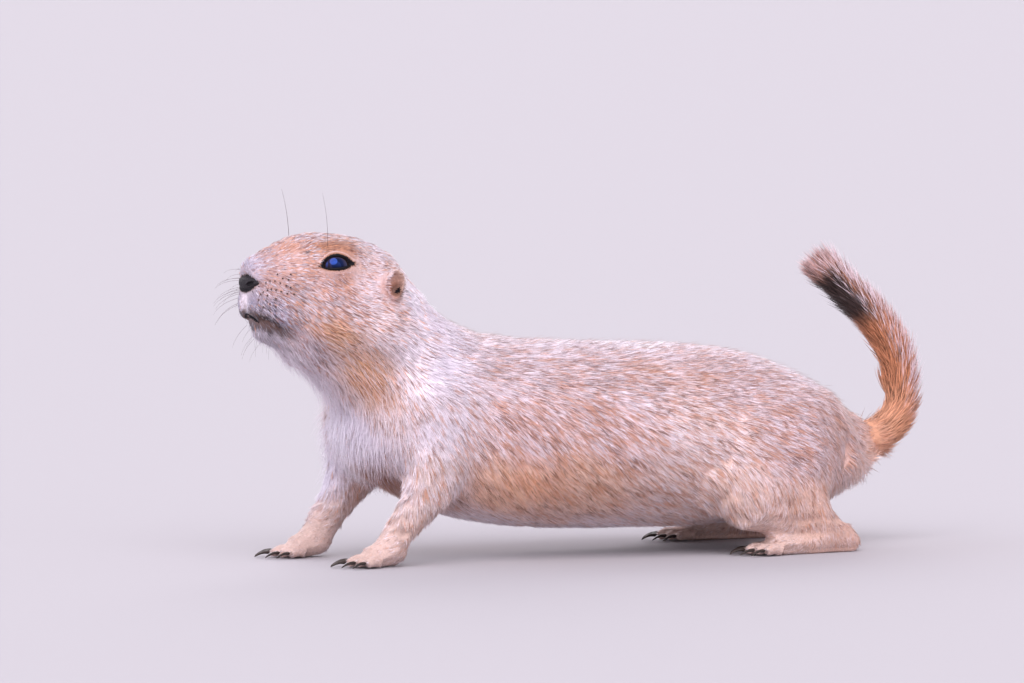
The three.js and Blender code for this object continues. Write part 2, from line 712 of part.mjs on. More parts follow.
// One long stiff hair over each eye, set in a narrow pocket of the brow
const BROW_HAIR = {
  places: [V(0.517 * H, 14.3, 19.6), V(0.545 * H, 14.8, 31), V(0.63 * H, 15.2, 41.5)],
  root: 0.34, // half its thickness where it grows
  tip: 0.13,
};
for (const { side, name } of sides) {
  const [from, over, to] = BROW_HAIR.places.map(({ x, y, z }) => onHead(x, -side * y, z));
  const below = shifted(from, over.clone().sub(from).normalize(), -GAP);
  const hair = (start, grow) => {
    const curve = new THREE.QuadraticBezierCurve3(start, over, to);
    const radiiAt = (t) => Array(2).fill(mix(BROW_HAIR.root, BROW_HAIR.tip, t) + grow);
    return solid(sweep(curve, 5, 5, radiiAt));
  };
  head = head.subtract(hair(below, GAP));
  node(`brow_hair_${name}`, hair(from, 0), WHISKER, 0.01);
}
node("head", head, FUR);

// Legs and feet, with toes joined to the foot and claws as pieces of their own
const TOES = 5;
const FORE_TOE = { radius: 2.3, length: 8.5, reach: -11, fan: 0.3, spacing: 3.1 };
const HIND_TOE = { radius: 2.4, length: 9.5, reach: 157, fan: 0.2, spacing: 3.4 };

function toeLine(leg, toe, side, n) {
  const across = n - (TOES - 1) / 2;
  const edge = Math.abs(across) / 2; // the outer toes start further back and are shorter
  const middle = side * leg.spread * (leg === HINDLEG ? 1.03 : 1);
  const start = toe.reach - leg.ahead[side] + 3.2 * edge;
  const base = V(start, middle + across * toe.spacing, toe.radius);
  const way = V(-1, across * toe.fan * 0.5, 0).normalize();
  return { base, way, length: toe.length * (1 - 0.16 * edge) };
}
function toeShape(toe, line) {
  const start = line.base.clone();
  const arch = start.clone().addScaledVector(line.way, line.length * 0.5).add(V(0, 0, 1.5));
  const tip = start.clone().addScaledVector(line.way, line.length).add(V(0, 0, -0.3));
  const curve = new THREE.QuadraticBezierCurve3(start, arch, tip);
  const radiiAt = (t) => Array(2).fill(toe.radius * (t > 0.9 ? 0.78 : mix(1.02, 0.96, t)));
  return solid(sweep(curve, 3, 6, radiiAt));
}
function clawShape(toe, line) {
  const back = line.base.clone().addScaledVector(line.way, line.length + 0.9);
  const rise = back.clone().addScaledVector(line.way, CLAW_LENGTH * 0.5).add(V(0, 0, 0.8));
  const tip = back.clone().addScaledVector(line.way, CLAW_LENGTH).add(V(0, 0, 0.7 - toe.radius));
  const curve = new THREE.QuadraticBezierCurve3(back, rise, tip);
  const radiiAt = (t) => [mix(1.05, 0.28, t), mix(1.3, 0.3, t)];
  return solid(sweep(curve, 3, 5, radiiAt));
}

function makeLeg({ side, name }, fore) {
  const { inner } = seats.find((seat) => seat.side === side && seat.fore === fore);
  const leg = fore ? FORELEG : HINDLEG;
  const toe = fore ? FORE_TOE : HIND_TOE;
  const label = fore ? "fore" : "hind";
  const joint = fore ? WRIST : ANKLE;
  const [x0, x1] = fore ? [-45, 45] : [118, 216];
  const [y0, y1] = [side * 2, side * 64].sort((a, b) => a - b);
  const limb = skinnedIn([x0, y0, 0], [x1, y1, 90], CELL.leg).intersect(inner);
  const shin = split(limb, joint, UPWARD).front;
  const bareShin = fore ? split(shin, HEAD_PLANE.at, HEAD_PLANE.normal).back : shin;
  node(`${label}leg_${name}`, bareShin, FUR);

  let foot = split(skinnedIn([x0, y0, -6], [x1, y1, 20], CELL.paw).intersect(inner), joint, UPWARD).back;
  const lines = Array.from({ length: TOES }, (_, n) => toeLine(leg, toe, side, n));
  for (const line of lines) foot = foot.add(toeShape(toe, line));
  const floored = foot.intersect(ahead(V(0, 0, 0), UPWARD));
  node(`${label}foot_${name}`, floored, FUR);
  lines.forEach((line, n) => node(`claw_${label}_${name}_${n + 1}`, clawShape(toe, line), CLAW));
}
for (const leg of sides) {
  makeLeg(leg, true);
  makeLeg(leg, false);
}

// The brush of the tail: flat tapered locks, rooted in the core and lying towards the tip
const LOCK = { rings: 10, perRing: 6, length: 18, width: 3.4, thick: 1.1 };
const LAST_RING = 0.88; // share of the path at which the last ring of locks is rooted
const TIP_LOCKS = { count: 7, at: 0.91, reach: 0.36 }; // the locks that close the tip
const CORE_ENDS = 0.94;
function seeded(seed) {
  let state = seed;
  return () => {
    state = (state * 1664525 + 1013904223) % 4294967296;
    return state / 4294967296;
  };
}
const chance = seeded(7);
const between = (low, high) => mix(low, high, chance());

function tailFrame(t) {
  return facing(tailPath.getPointAt(t), tailPath.getTangentAt(t), V(0, 1, 0));
}
function lockShape(t, angle, length, spread = 1) {
  const out = V(Math.cos(angle), Math.sin(angle), 0);
  const here = tailFrame(t);
  const run = tailPath.getLength();
  const place = (share, height) => {
    const on = tailFrame(Math.min(1, t + (share * length) / run));
    const over = Math.max(0, t + (share * length) / run - 1) * run;
    return V(out.x * height, out.y * height, over).applyMatrix4(on);
  };
  const reach = TAIL_RADIUS * spread * between(0.88, 1.08) * mix(1.05, 0.72, t ** 3);
  const curve = new THREE.CatmullRomCurve3([
    place(0, TAIL_CORE * 0.35),
    place(0.35, mix(Math.min(TAIL_CORE, reach), reach, 0.5)),
    place(0.7, mix(Math.min(TAIL_CORE, reach), reach, 0.9)),
    place(1, reach),
  ]);
  const outward = out.clone().transformDirection(here);
  const radiiAt = (s) => [
    LOCK.width * (s < 0.5 ? mix(0.8, 1, s * 2) : mix(1, 0.14, s * 2 - 1)) * 0.5,
    LOCK.thick * mix(1, 0.35, s) * 0.5,
  ];
  const acrossFirst = (s) => radiiAt(s).reverse();
  return solid(sweep(curve, 3, 4, acrossFirst, outward));
}
const coreCurve = {
  getPoint: (s) => tailPath.getPointAt(mix(TAIL_ROOT_ENDS - 0.01, CORE_ENDS, s)),
  getTangent: (s) => tailPath.getTangentAt(mix(TAIL_ROOT_ENDS - 0.01, CORE_ENDS, s)),
};
const coreRadius = (s) => mix(TAIL_CORE * mix(1.1, 0.55, s), 0.92 * TAIL_RADIUS, Math.max(0, 1 - 4.5 * s));
let brush = solid(sweep(coreCurve, 12, 10, (s) => Array(2).fill(coreRadius(s)), V(0, 1, 0)));
for (let ring = 0; ring < LOCK.rings; ring++)
  for (let n = 0; n < LOCK.perRing; n++) {
    const share = (ring + between(-0.2, 0.2)) / (LOCK.rings - 1);
    const t = mix(TAIL_ROOT_ENDS, LAST_RING, clamp(share, 0, 1));
    const angle = ((n + (ring % 2) / 2 + between(-0.15, 0.15)) / LOCK.perRing) * 2 * Math.PI;
    brush = brush.add(lockShape(t, angle, LOCK.length * between(0.85, 1.15)));
  }
for (let n = 0; n < TIP_LOCKS.count; n++) {
  const angle = ((n + between(-0.2, 0.2)) / TIP_LOCKS.count) * 2 * Math.PI;
  brush = brush.add(lockShape(TIP_LOCKS.at, angle, LOCK.length * between(0.85, 1.05), TIP_LOCKS.reach));
}
node("tail", split(brush, BRUSH_STARTS.at, BRUSH_STARTS.normal).front, DARK_FUR);

// The origin is on the floor, under the middle of the whole animal.
const extent = new THREE.Box3().setFromObject(root);
const middle = extent.getCenter(V(0, 0, 0));
root.position.set(-middle.x, -middle.y, -extent.min.z);

export default root;
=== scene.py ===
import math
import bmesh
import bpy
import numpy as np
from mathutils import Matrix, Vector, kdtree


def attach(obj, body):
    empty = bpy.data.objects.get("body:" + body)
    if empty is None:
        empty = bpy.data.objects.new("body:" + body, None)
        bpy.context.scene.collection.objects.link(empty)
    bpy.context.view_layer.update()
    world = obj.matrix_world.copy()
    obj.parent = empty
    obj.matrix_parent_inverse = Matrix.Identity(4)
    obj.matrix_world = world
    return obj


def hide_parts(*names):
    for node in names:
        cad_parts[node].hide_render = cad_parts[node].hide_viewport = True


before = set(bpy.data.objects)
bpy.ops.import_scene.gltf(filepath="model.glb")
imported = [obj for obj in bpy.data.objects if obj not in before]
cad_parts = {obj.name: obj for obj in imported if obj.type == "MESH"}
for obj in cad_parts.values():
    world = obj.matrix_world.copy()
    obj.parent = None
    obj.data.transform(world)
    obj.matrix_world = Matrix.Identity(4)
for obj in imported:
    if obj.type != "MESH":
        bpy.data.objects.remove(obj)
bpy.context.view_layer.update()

# %% [markdown]
# # A prairie dog on all fours
# The solids give this animal's outline at the tips of its hair, as flat facets. Here they are dressed:
# one smooth skin lies inside them, a coat of small tufts grows on it, and eyes, nose, claws and whiskers
# are pieces of their own. Everything is in metres, in the frame of the solids, so nothing has to be
# fitted.

MM = 0.001
RNG = np.random.default_rng(11)
SCENE = bpy.context.scene


def smooth(x):
    """0 below 0, 1 above 1, and a soft step between."""
    x = np.clip(x, 0, 1)
    return x * x * (3 - 2 * x)


def unit(v):
    v = np.asarray(v, float)
    return v / np.maximum(np.linalg.norm(v, axis=-1, keepdims=True), 1e-12)


def mesh_of(form, name):
    """The mesh of a bmesh, which is freed."""
    mesh = bpy.data.meshes.new(name)
    form.to_mesh(mesh)
    form.free()
    return mesh


def show(name, mesh):
    """An object at the origin that holds the mesh."""
    piece = bpy.data.objects.new(name, mesh)
    SCENE.collection.objects.link(piece)
    return piece


# %% [markdown]
# ## The camera
# The photo was taken from the animal's left, a little in front of it and barely above its back, with a
# long lens. A camera far away with a long focal length gives the same flat perspective. It is aimed by a
# point on the animal, so the picture's frame falls where the photo's does.

# %% Camera
AZIMUTH = math.radians(-24)
ELEVATION = math.radians(4)
AIM = Vector((-29.15, 1.36, 85.73)) * MM
CAMERA_AWAY = 5.5
PICTURE_WIDTH = 0.4096  # metres across the whole picture, at the animal
SENSOR = 36

to_camera = Vector((
    math.sin(AZIMUTH) * math.cos(ELEVATION),
    -math.cos(AZIMUTH) * math.cos(ELEVATION),
    math.sin(ELEVATION),
))
lens = bpy.data.cameras.new("camera")
lens.sensor_width = SENSOR
lens.lens = SENSOR * CAMERA_AWAY / PICTURE_WIDTH
lens.clip_end = 100
camera = bpy.data.objects.new("camera", lens)
camera.location = AIM + to_camera * CAMERA_AWAY
camera.rotation_euler = to_camera.to_track_quat("Z", "Y").to_euler()
SCENE.collection.objects.link(camera)
SCENE.camera = camera
print("focal length, mm:", round(lens.lens, 1))

# %% [markdown]
# ## Floor and light
# The photo's light is an open sky: soft, strongest from above, and pale on the back, the crown and the
# front of the muzzle. Area lamps near the model would leave pools of light on the floor, so the sky is
# four sun lamps with wide discs, which light the floor evenly, and a pale surround. The floor is a plain
# disc.

# %% Floor and lamps
def plain_material(name, colour, roughness=0.6):
    material = bpy.data.materials.new(name)
    material.use_nodes = True
    shader = material.node_tree.nodes["Principled BSDF"]
    shader.inputs["Base Color"].default_value = (*colour, 1)
    shader.inputs["Roughness"].default_value = roughness
    return material


def srgb(code):
    """The linear colour of a six-digit code."""
    parts = [int(code[i:i + 2], 16) / 255 for i in (0, 2, 4)]
    return tuple(((p + 0.055) / 1.055) ** 2.4 if p > 0.04045 else p / 12.92 for p in parts)


form = bmesh.new()
bmesh.ops.create_circle(form, cap_ends=True, segments=96, radius=30)
floor_mesh = mesh_of(form, "floor")
floor = show("floor", floor_mesh)
floor_mesh.materials.append(plain_material("pale_floor", srgb("a9a4aa"), 0.9))


def wide_sun(name, way, disc, power, colour):
    """A sun lamp that shines from the way given, with a disc so many degrees wide."""
    light = bpy.data.lights.new(name, "SUN")
    light.angle = math.radians(disc)
    light.energy = power
    light.color = colour
    holder = bpy.data.objects.new(name, light)
    holder.rotation_euler = Vector(way).to_track_quat("Z", "Y").to_euler()
    SCENE.collection.objects.link(holder)


wide_sun("sky", (-0.4, -0.8, 1.1), 54, 2.55, (0.97, 0.95, 1.0))
wide_sun("side", (-0.15, -1.0, 0.15), 85, 1.3, (0.97, 0.96, 1.0))
wide_sun("front", (-1.0, 0.3, 0.15), 70, 2.1, (0.88, 0.93, 1.0))
wide_sun("back_rim", (0.35, 1.0, 0.6), 50, 1.4, (1.0, 0.96, 1.0))
SURROUND = 0.68
world = bpy.data.worlds.new("studio")
world.use_nodes = True
world.node_tree.nodes["Background"].inputs["Color"].default_value = (0.97, 0.93, 1.0, 1)
world.node_tree.nodes["Background"].inputs["Strength"].default_value = SURROUND
SCENE.world = world
SCENE.view_settings.view_transform = "Standard"

# %% [markdown]
# ## Two frames: the body's and the head's
# The head is turned a little to the left and lifted, so places on it are easiest to name by how far they
# are ahead, to the left and above the head's own origin, between the ears. The body's frame is the
# floor's.

# %% The head's frame
HEAD_AT = np.array([-93.38, -0.11, 101.2])
TURN, LIFT = math.radians(9), math.radians(10)
AHEAD = np.array([-math.cos(TURN) * math.cos(LIFT), -math.sin(TURN) * math.cos(LIFT), math.sin(LIFT)])
LEFT = np.array([math.sin(TURN), -math.cos(TURN), 0.0])
ABOVE = np.cross(AHEAD, LEFT)
HEAD_AXES = np.array([AHEAD, LEFT, ABOVE])


def from_head(places):
    """Head places in mm, as places in the row's frame in mm."""
    return HEAD_AT + np.asarray(places, float) @ HEAD_AXES


def on_head(points):
    """Points in metres, as head places in mm."""
    return (points / MM - HEAD_AT) @ HEAD_AXES.T


TAIL = np.array([
    (116.0, -0.1, 41), (131.0, -0.1, 43), (140.0, -0.1, 51), (142.0, -0.1, 62),
    (139.5, -0.1, 75), (132.0, -0.1, 88), (121.0, -0.1, 99.5), (110.0, -0.1, 109.5),
])


def curve_through(points, count):
    """Evenly spaced places on a smooth curve through the points."""
    p = np.asarray(points, float)
    p = np.vstack([2 * p[0] - p[1], p, 2 * p[-1] - p[-2]])
    t = np.linspace(0, len(p) - 3, 40 * len(p))[:, None]
    i = np.minimum(t.astype(int), len(p) - 4)
    f = t - i
    i = i[:, 0]
    a, b, c, d = p[i], p[i + 1], p[i + 2], p[i + 3]
    fine = 0.5 * (2 * b + (c - a) * f + (2 * a - 5 * b + 4 * c - d) * f**2 + (3 * b - a - 3 * c + d) * f**3)
    run = np.concatenate([[0], np.cumsum(np.linalg.norm(np.diff(fine, axis=0), axis=1))])
    spots = np.linspace(0, run[-1], count)
    return np.stack([np.interp(spots, run, fine[:, k]) for k in range(3)], 1)


tail_line = curve_through(TAIL, 120)
print("tail, mm:", round(float(np.linalg.norm(np.diff(tail_line, axis=0), axis=1).sum()), 1))

# %% [markdown]
# ## One skin
# A real skin has no seams where the neck meets the chest. The nodes of flesh are copied, merged and
# swelled a little, so that they overlap, and a voxel remesh makes one closed surface of them. A tube
# stands for the tail inside its brush. Shared voxels would be too coarse for toes and lids or too many
# for the back, so they are fine everywhere first, and the broad parts are thinned afterwards.

# %% Where the mesh has to be fine
def fineness(points):
    """1 on the face, ears and feet, 0 on the trunk."""
    head = on_head(points)
    face = smooth((head[..., 0] + 14) / 10) * smooth((head[..., 2] + 34) / 8)
    foot = smooth((15 - points[..., 2] / MM) / 4) * (np.abs(points[..., 1]) > 16 * MM)
    return np.maximum(face, foot)


def swell_at(points):
    """How far the copies of the nodes are swelled: enough to close the gaps between them, in metres."""
    return (0.35 + 0.95 * (1 - fineness(points))) * MM


# %% A tube along a line
def tube_form(form, line, radii, sides=12, flat=1.0, upright=(0, 0, 1), loop=False):
    """Circles along the line, joined ring to ring, and closed at both ends or into a loop."""
    line = np.asarray(line, float)
    along = unit(np.roll(line, -1, 0) - np.roll(line, 1, 0)) if loop else unit(np.gradient(line, axis=0))
    up = np.asarray(upright, float)
    rings = []
    for k, place in enumerate(line):
        up = unit(up - along[k] * (up @ along[k]))
        side = np.cross(up, along[k])
        turn = Matrix(np.array([side, up, along[k]]).T.tolist()).to_4x4()
        turn.translation = Vector(place)
        thin = Matrix.Diagonal((radii[k], radii[k] * flat, 1, 1))
        ends = k in (0, len(line) - 1) and not loop
        ring = bmesh.ops.create_circle(form, cap_ends=ends, segments=sides, radius=1, matrix=turn @ thin)
        rings.append({e for v in ring["verts"] for e in v.link_edges})
    for a, b in zip(rings, rings[1:] + (rings[:1] if loop else [])):
        bmesh.ops.bridge_loops(form, edges=list(a | b))
    return form


# %% The flesh, merged and remeshed
SIDES = ("left", "right")
LIMBS = ("foreleg", "forefoot", "hindleg", "hindfoot")
FLESH = ["head", "lower_jaw", "neck", "chest", "belly", "rump", "tail_root"]
FLESH += [f"ear_{side}" for side in SIDES]
FLESH += [f"{limb}_{side}" for limb in LIMBS for side in SIDES]
FILLED = ["nose", "eye_left", "eye_right"]
VOXEL = 0.72 * MM


def merged_copy(names, swelled=False):
    """One bmesh of the named nodes, with each node's loose triangles merged."""
    together = bmesh.new()
    for name in names:
        part = bmesh.new()
        part.from_mesh(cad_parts[name].data)
        bmesh.ops.remove_doubles(part, verts=part.verts, dist=1e-6)
        part.normal_update()
        if swelled:
            grown = swell_at(np.array([v.co for v in part.verts]))
            for v, grow in zip(part.verts, grown):
                v.co += v.normal * float(grow)
        scrap = mesh_of(part, "scrap")
        together.from_mesh(scrap)
        bpy.data.meshes.remove(scrap)
    return together


def baked(piece):
    """The piece's mesh with its modifiers applied; the piece is removed."""
    graph = bpy.context.evaluated_depsgraph_get()
    mesh = bpy.data.meshes.new_from_object(piece.evaluated_get(graph), depsgraph=graph)
    old = piece.data
    bpy.data.objects.remove(piece)
    bpy.data.meshes.remove(old)
    return mesh


form = merged_copy(FLESH + FILLED, swelled=True)
core_line = tail_line[34:116] * MM
core_radii = np.interp(np.arange(len(core_line)), [0, 12, 81], [7.5, 4.4, 2.6]) * MM
tube_form(form, core_line, core_radii, 12, upright=(0, 1, 0))
lump = show("lump", mesh_of(form, "raw"))
remesh = lump.modifiers.new("remesh", "REMESH")
remesh.mode = "VOXEL"
remesh.voxel_size = VOXEL
skin_mesh = baked(lump)
print("after the remesh:", len(skin_mesh.polygons), "faces")


# %% Numbers of a mesh
def points_of(mesh):
    """Where the vertices are, in metres."""
    co = np.empty(len(mesh.vertices) * 3)
    mesh.vertices.foreach_get("co", co)
    return co.reshape(-1, 3)


def normals_of(mesh):
    """The vertices' normals."""
    n = np.empty(len(mesh.vertices) * 3)
    mesh.vertex_normals.foreach_get("vector", n)
    return n.reshape(-1, 3)


def put_points(mesh, co):
    """Moves the vertices to the places given."""
    mesh.vertices.foreach_set("co", np.asarray(co, np.float32).ravel())
    mesh.update()


def pairs_of(mesh):
    """The two vertices of each edge."""
    e = np.empty(len(mesh.edges) * 2, np.int32)
    mesh.edges.foreach_get("vertices", e)
    return e.reshape(-1, 2)


class Neighbours:
    """Averages a value over each vertex's neighbours."""

    def __init__(self, mesh):
        self.a, self.b = pairs_of(mesh).T
        self.count = len(mesh.vertices)
        self.degree = np.bincount(self.a, minlength=self.count) + np.bincount(self.b, minlength=self.count)
        self.degree = np.maximum(self.degree, 1)

    def mean(self, values):
        out = np.empty_like(values)
        for k in range(values.shape[1]):
            v = values[:, k]
            out[:, k] = np.bincount(self.a, v[self.b], self.count)
            out[:, k] += np.bincount(self.b, v[self.a], self.count)
        return out / self.degree[:, None]

    def relax(self, values, times, weight=1.0, pull=0.5, push=-0.52):
        """Smooths without shrinking: each pull towards the neighbours is followed by a push back."""
        w = np.broadcast_to(np.asarray(weight, float).reshape(-1, 1), (len(values), 1))
        for _ in range(times):
            values = values + w * pull * (self.mean(values) - values)
            values = values + w * push * (self.mean(values) - values)
        return values

    def level(self, values, times, weight):
        """Plain averaging, which fills folds and wears edges down."""
        return self.relax(values, times, weight, push=0.0)


def largest_body(mesh):
    """Drops everything but the largest connected surface."""
    near = pairs_of(mesh)
    label = np.arange(len(mesh.vertices))
    for _ in range(400):
        low = np.minimum(label[near[:, 0]], label[near[:, 1]])
        fresh = label.copy()
        np.minimum.at(fresh, near[:, 0], low)
        np.minimum.at(fresh, near[:, 1], low)
        fresh = fresh[fresh]
        if (fresh == label).all():
            break
        label = fresh
    kinds, sizes = np.unique(label, return_counts=True)
    keep = kinds[sizes.argmax()]
    form = bmesh.new()
    form.from_mesh(mesh)
    scrap = [v for v, kind in zip(form.verts, label) if kind != keep]
    bmesh.ops.delete(form, geom=scrap, context="VERTS")
    form.to_mesh(mesh)
    form.free()
    return len(kinds)


print("separate surfaces:", largest_body(skin_mesh))

# %% [markdown]
# ## A map of the coat
# Fur differs from place to place in its lie, length, depth and colour. A painter would brush each of
# these by hand. Here a table names some places on the animal and says how the coat is there, and every
# point between them takes a mix of its nearest places. Each place off the middle line counts for both
# sides.

# %% Coat colours
COLOURS = {
    "cream": srgb("ecd8dc"), "white": srgb("e6dbe8"), "rose": srgb("dcb9ba"), "buff": srgb("e2bda8"),
    "cinnamon": srgb("c48f78"), "ochre": srgb("d49b71"), "umber": srgb("8b5f55"), "orange": srgb("d98f66"),
    "grey": srgb("b7aab9"), "slate": srgb("77727f"), "black": srgb("3f3437"), "russet": srgb("a5644f"),
    "blue": srgb("868bb0"), "gold": srgb("eab07c"),
}


def mix(a, b, share, light=1.0):
    """Two colours mixed, and made darker or lighter."""
    return tuple(light * ((1 - share) * p + share * q) for p, q in zip(COLOURS[a], COLOURS[b]))


# %% Places on the body and on the head
# name: place mm, lie, hair mm, depth mm, lift degrees, width mm, tufts per square mm, colour, flecks
BODY_PLACES = {
    "nape": ((-72, 0, 105), (0.85, 0, -0.5), 5.4, 2.2, 14, 0.38, 3.4, mix("white", "grey", 0.1, 1.05), 0.1),
    "nape_side": ((-70, -20, 96), (0.8, 0, -0.6), 5.4, 2.2, 14, 0.38, 3.4, mix("white", "grey", 0.1), 0.15),
    "withers": ((-48, 0, 91), (0.97, 0, -0.2), 5.6, 2.6, 14, 0.38, 3.9, mix("cream", "white", 0.4), 0.25),
    "back_front": ((-20, 0, 89), (1, 0, -0.18), 5.4, 3, 13, 0.38, 3.9, mix("white", "rose", 0.1, 1.08), 0.4),
    "back_middle": ((20, 0, 88), (1, 0, -0.12), 5.4, 3, 13, 0.38, 3.9, mix("white", "rose", 0.0, 1.17), 0.38),
    "back_rear": ((55, 0, 81), (0.97, 0, -0.2), 5.4, 3, 13, 0.38, 3.9, mix("white", "rose", 0.2, 1.12), 0.45),
    "rump_top": ((85, 0, 67), (0.88, 0, -0.47), 5.4, 3, 13, 0.38, 3.9, mix("white", "rose", 0.0, 1.17), 0.38),
    "rump_end": ((112, 0, 54), (0.95, 0, -0.3), 6.2, 2.8, 12, 0.38, 3.9, mix("rose", "buff", 0.3), 0.4),
    "side_front": (
        (-45, -28, 78), (0.84, 0, -0.55), 5.4, 3, 13, 0.38, 3.9, mix("white", "rose", 0.35, 0.94), 0.4,
    ),
    "side_middle": (
        (0, -32, 76), (0.9, 0, -0.45), 5.4, 3, 13, 0.38, 3.9, mix("white", "rose", 0.3, 0.95), 0.65,
    ),
    "side_rear": (
        (45, -33, 72), (0.95, 0, -0.3), 5.4, 3, 13, 0.38, 3.9, mix("rose", "white", 0.5, 0.95), 0.65,
    ),
    "flank_front": (
        (-43, -38, 56), (0.72, 0, -0.7), 5.6, 3, 13, 0.38, 3.9, mix("rose", "white", 0.35, 0.98), 0.7,
    ),
    "flank_middle": (
        (-8, -44, 54), (0.75, 0, -0.66), 5.6, 3, 13, 0.38, 3.9, mix("rose", "white", 0.35, 0.92), 0.8,
    ),
    "flank_rear": (
        (35, -46, 52), (0.86, 0, -0.5), 5.6, 3, 13, 0.38, 3.9, mix("cream", "buff", 0.2, 1.05), 0.6,
    ),
    # Painted light in part: the low front flank is buff and orange, and is made lighter than that for light
    # thrown up onto it from below.
    "low_front": (
        (-47, -34, 32), (0.6, 0, -0.8), 5.4, 2.8, 13, 0.38, 3.9, mix("buff", "orange", 0.3, 1.25), 0.4,
    ),
    "low_middle": (
        (-15, -40, 32), (0.72, 0, -0.68), 5.4, 2.8, 13, 0.38, 3.9, mix("buff", "orange", 0.12, 1.15), 0.6,
    ),
    "low_rear": (
        (30, -40, 26), (0.8, 0, -0.55), 5.4, 2.8, 13, 0.38, 3.9, mix("cream", "buff", 0.5, 1.05), 0.5,
    ),
    "haunch": ((75, -43, 48), (0.85, 0, -0.5), 5.4, 3, 13, 0.38, 3.9, mix("rose", "white", 0.45, 0.92), 0.7),
    "haunch_rear": ((104, -32, 42), (0.75, 0, -0.65), 5.2, 2.8, 12, 0.38, 3.9, mix("rose", "buff", 0.3), 0.5),
    "knee": ((45, -44, 22), (0.5, 0, -0.85), 4.6, 2, 12, 0.36, 3.2, mix("buff", "cream", 0.4, 0.95), 0.4),
    "shin": ((80, -42, 18), (0.3, 0, -0.95), 3.6, 1.4, 12, 0.34, 3.4, mix("buff", "rose", 0.4, 0.9), 0.4),
    "hindfoot": ((70, -38, 7), (-0.97, 0, -0.2), 2.2, 0.6, 14, 0.3, 3.2, mix("buff", "cream", 0.5, 0.8), 0.3),
    "heel": ((103, -38, 9), (0.3, 0, -0.95), 2.4, 0.8, 13, 0.32, 2.8, mix("buff", "rose", 0.5, 0.8), 0.3),
    "hind_toes": (
        (58, -38, 4), (-0.97, 0, -0.25), 1.6, 0.35, 12, 0.26, 3.6, mix("buff", "cream", 0.5, 0.75), 0.25,
    ),
    "belly": ((0, 0, 9), (1, 0, 0), 5.4, 2.2, 12, 0.42, 1.6, COLOURS["cream"], 0.1),
    "belly_front": ((-50, 0, 17), (1, 0, 0), 5.4, 2.2, 12, 0.42, 1.6, COLOURS["cream"], 0.1),
    "belly_rear": ((60, 0, 12), (1, 0, 0), 5.4, 2.2, 12, 0.42, 1.6, COLOURS["cream"], 0.1),
    "under_tail": ((112, 0, 30), (0.5, 0, -0.85), 5.4, 2.2, 13, 0.4, 2.2, mix("cream", "buff", 0.5), 0.1),
    "neck_side": ((-74, -29, 81), (0.82, 0, -0.57), 6, 2.6, 16, 0.38, 3.3, mix("white", "grey", 0.1), 0.15),
    "neck_low": (
        (-90, -27, 68), (0.5, 0, -0.86), 6, 2.8, 16, 0.38, 3.4, mix("cream", "white", 0.5, 0.95), 0.3,
    ),
    "neck_gold": ((-104, -21, 76), (0.7, 0, -0.7), 6.2, 2.6, 17, 0.38, 3.5, mix("gold", "ochre", 0.5), 0.5),
    "shoulder": (
        (-78, -37, 56), (0.4, 0, -0.92), 5.8, 2.8, 13, 0.38, 3.9, mix("cream", "white", 0.8, 0.90), 0.25,
    ),
    "upper_leg": (
        (-80, -38, 36), (0.3, 0, -0.95), 5.6, 2.4, 13, 0.38, 3.9, mix("cream", "buff", 0.4, 0.8), 0.35,
    ),
    "leg_front": ((-97, -34, 34), (0.1, 0, -1), 5, 2.2, 13, 0.36, 3.4, mix("white", "blue", 0.15, 0.98), 0.1),
    "forearm": ((-85, -30, 18), (0, 0, -1), 3.6, 1.4, 12, 0.34, 3.6, mix("buff", "cream", 0.5, 0.76), 0.3),
    "forefoot": (
        (-98, -28, 6), (-0.95, 0, -0.3), 2.2, 0.5, 14, 0.3, 3.4, mix("buff", "cream", 0.6, 0.75), 0.3,
    ),
    "fore_toes": (
        (-104, -28, 4), (-0.95, 0, -0.3), 1.5, 0.3, 12, 0.24, 4.0, mix("buff", "cream", 0.5, 0.7), 0.25,
    ),
    "chest": ((-103, -6, 56), (0.1, 0, -1), 6.2, 2.8, 18, 0.4, 3.4, mix("white", "grey", 0.1, 1.05), 0.08),
    # Painted shade: the chest's underside between the forelegs is coloured umber and cinnamon for the shade
    # it lies in.
    "chest_low_in_shade": ((-88, 0, 34), (0.3, 0, -0.95), 5.8, 2.6, 15, 0.4, 2.8, mix("umber", "cinnamon", 0.5), 0.3),
    "throat": ((-117, -2, 72), (0.15, 0, -1), 6, 2.4, 20, 0.38, 3.6, mix("white", "cream", 0.3, 1.08), 0.05),
    "throat_side": (
        (-114, -14, 70), (0.6, 0, -0.8), 5.8, 2.4, 17, 0.38, 3.6, mix("grey", "cream", 0.5, 1.1), 0.15,
    ),
    "tail_root": ((133, 0, 48), (0.6, 0, 0.8), 6, 3.2, 9, 0.38, 3.9, mix("orange", "buff", 0.35), 0.3),
}
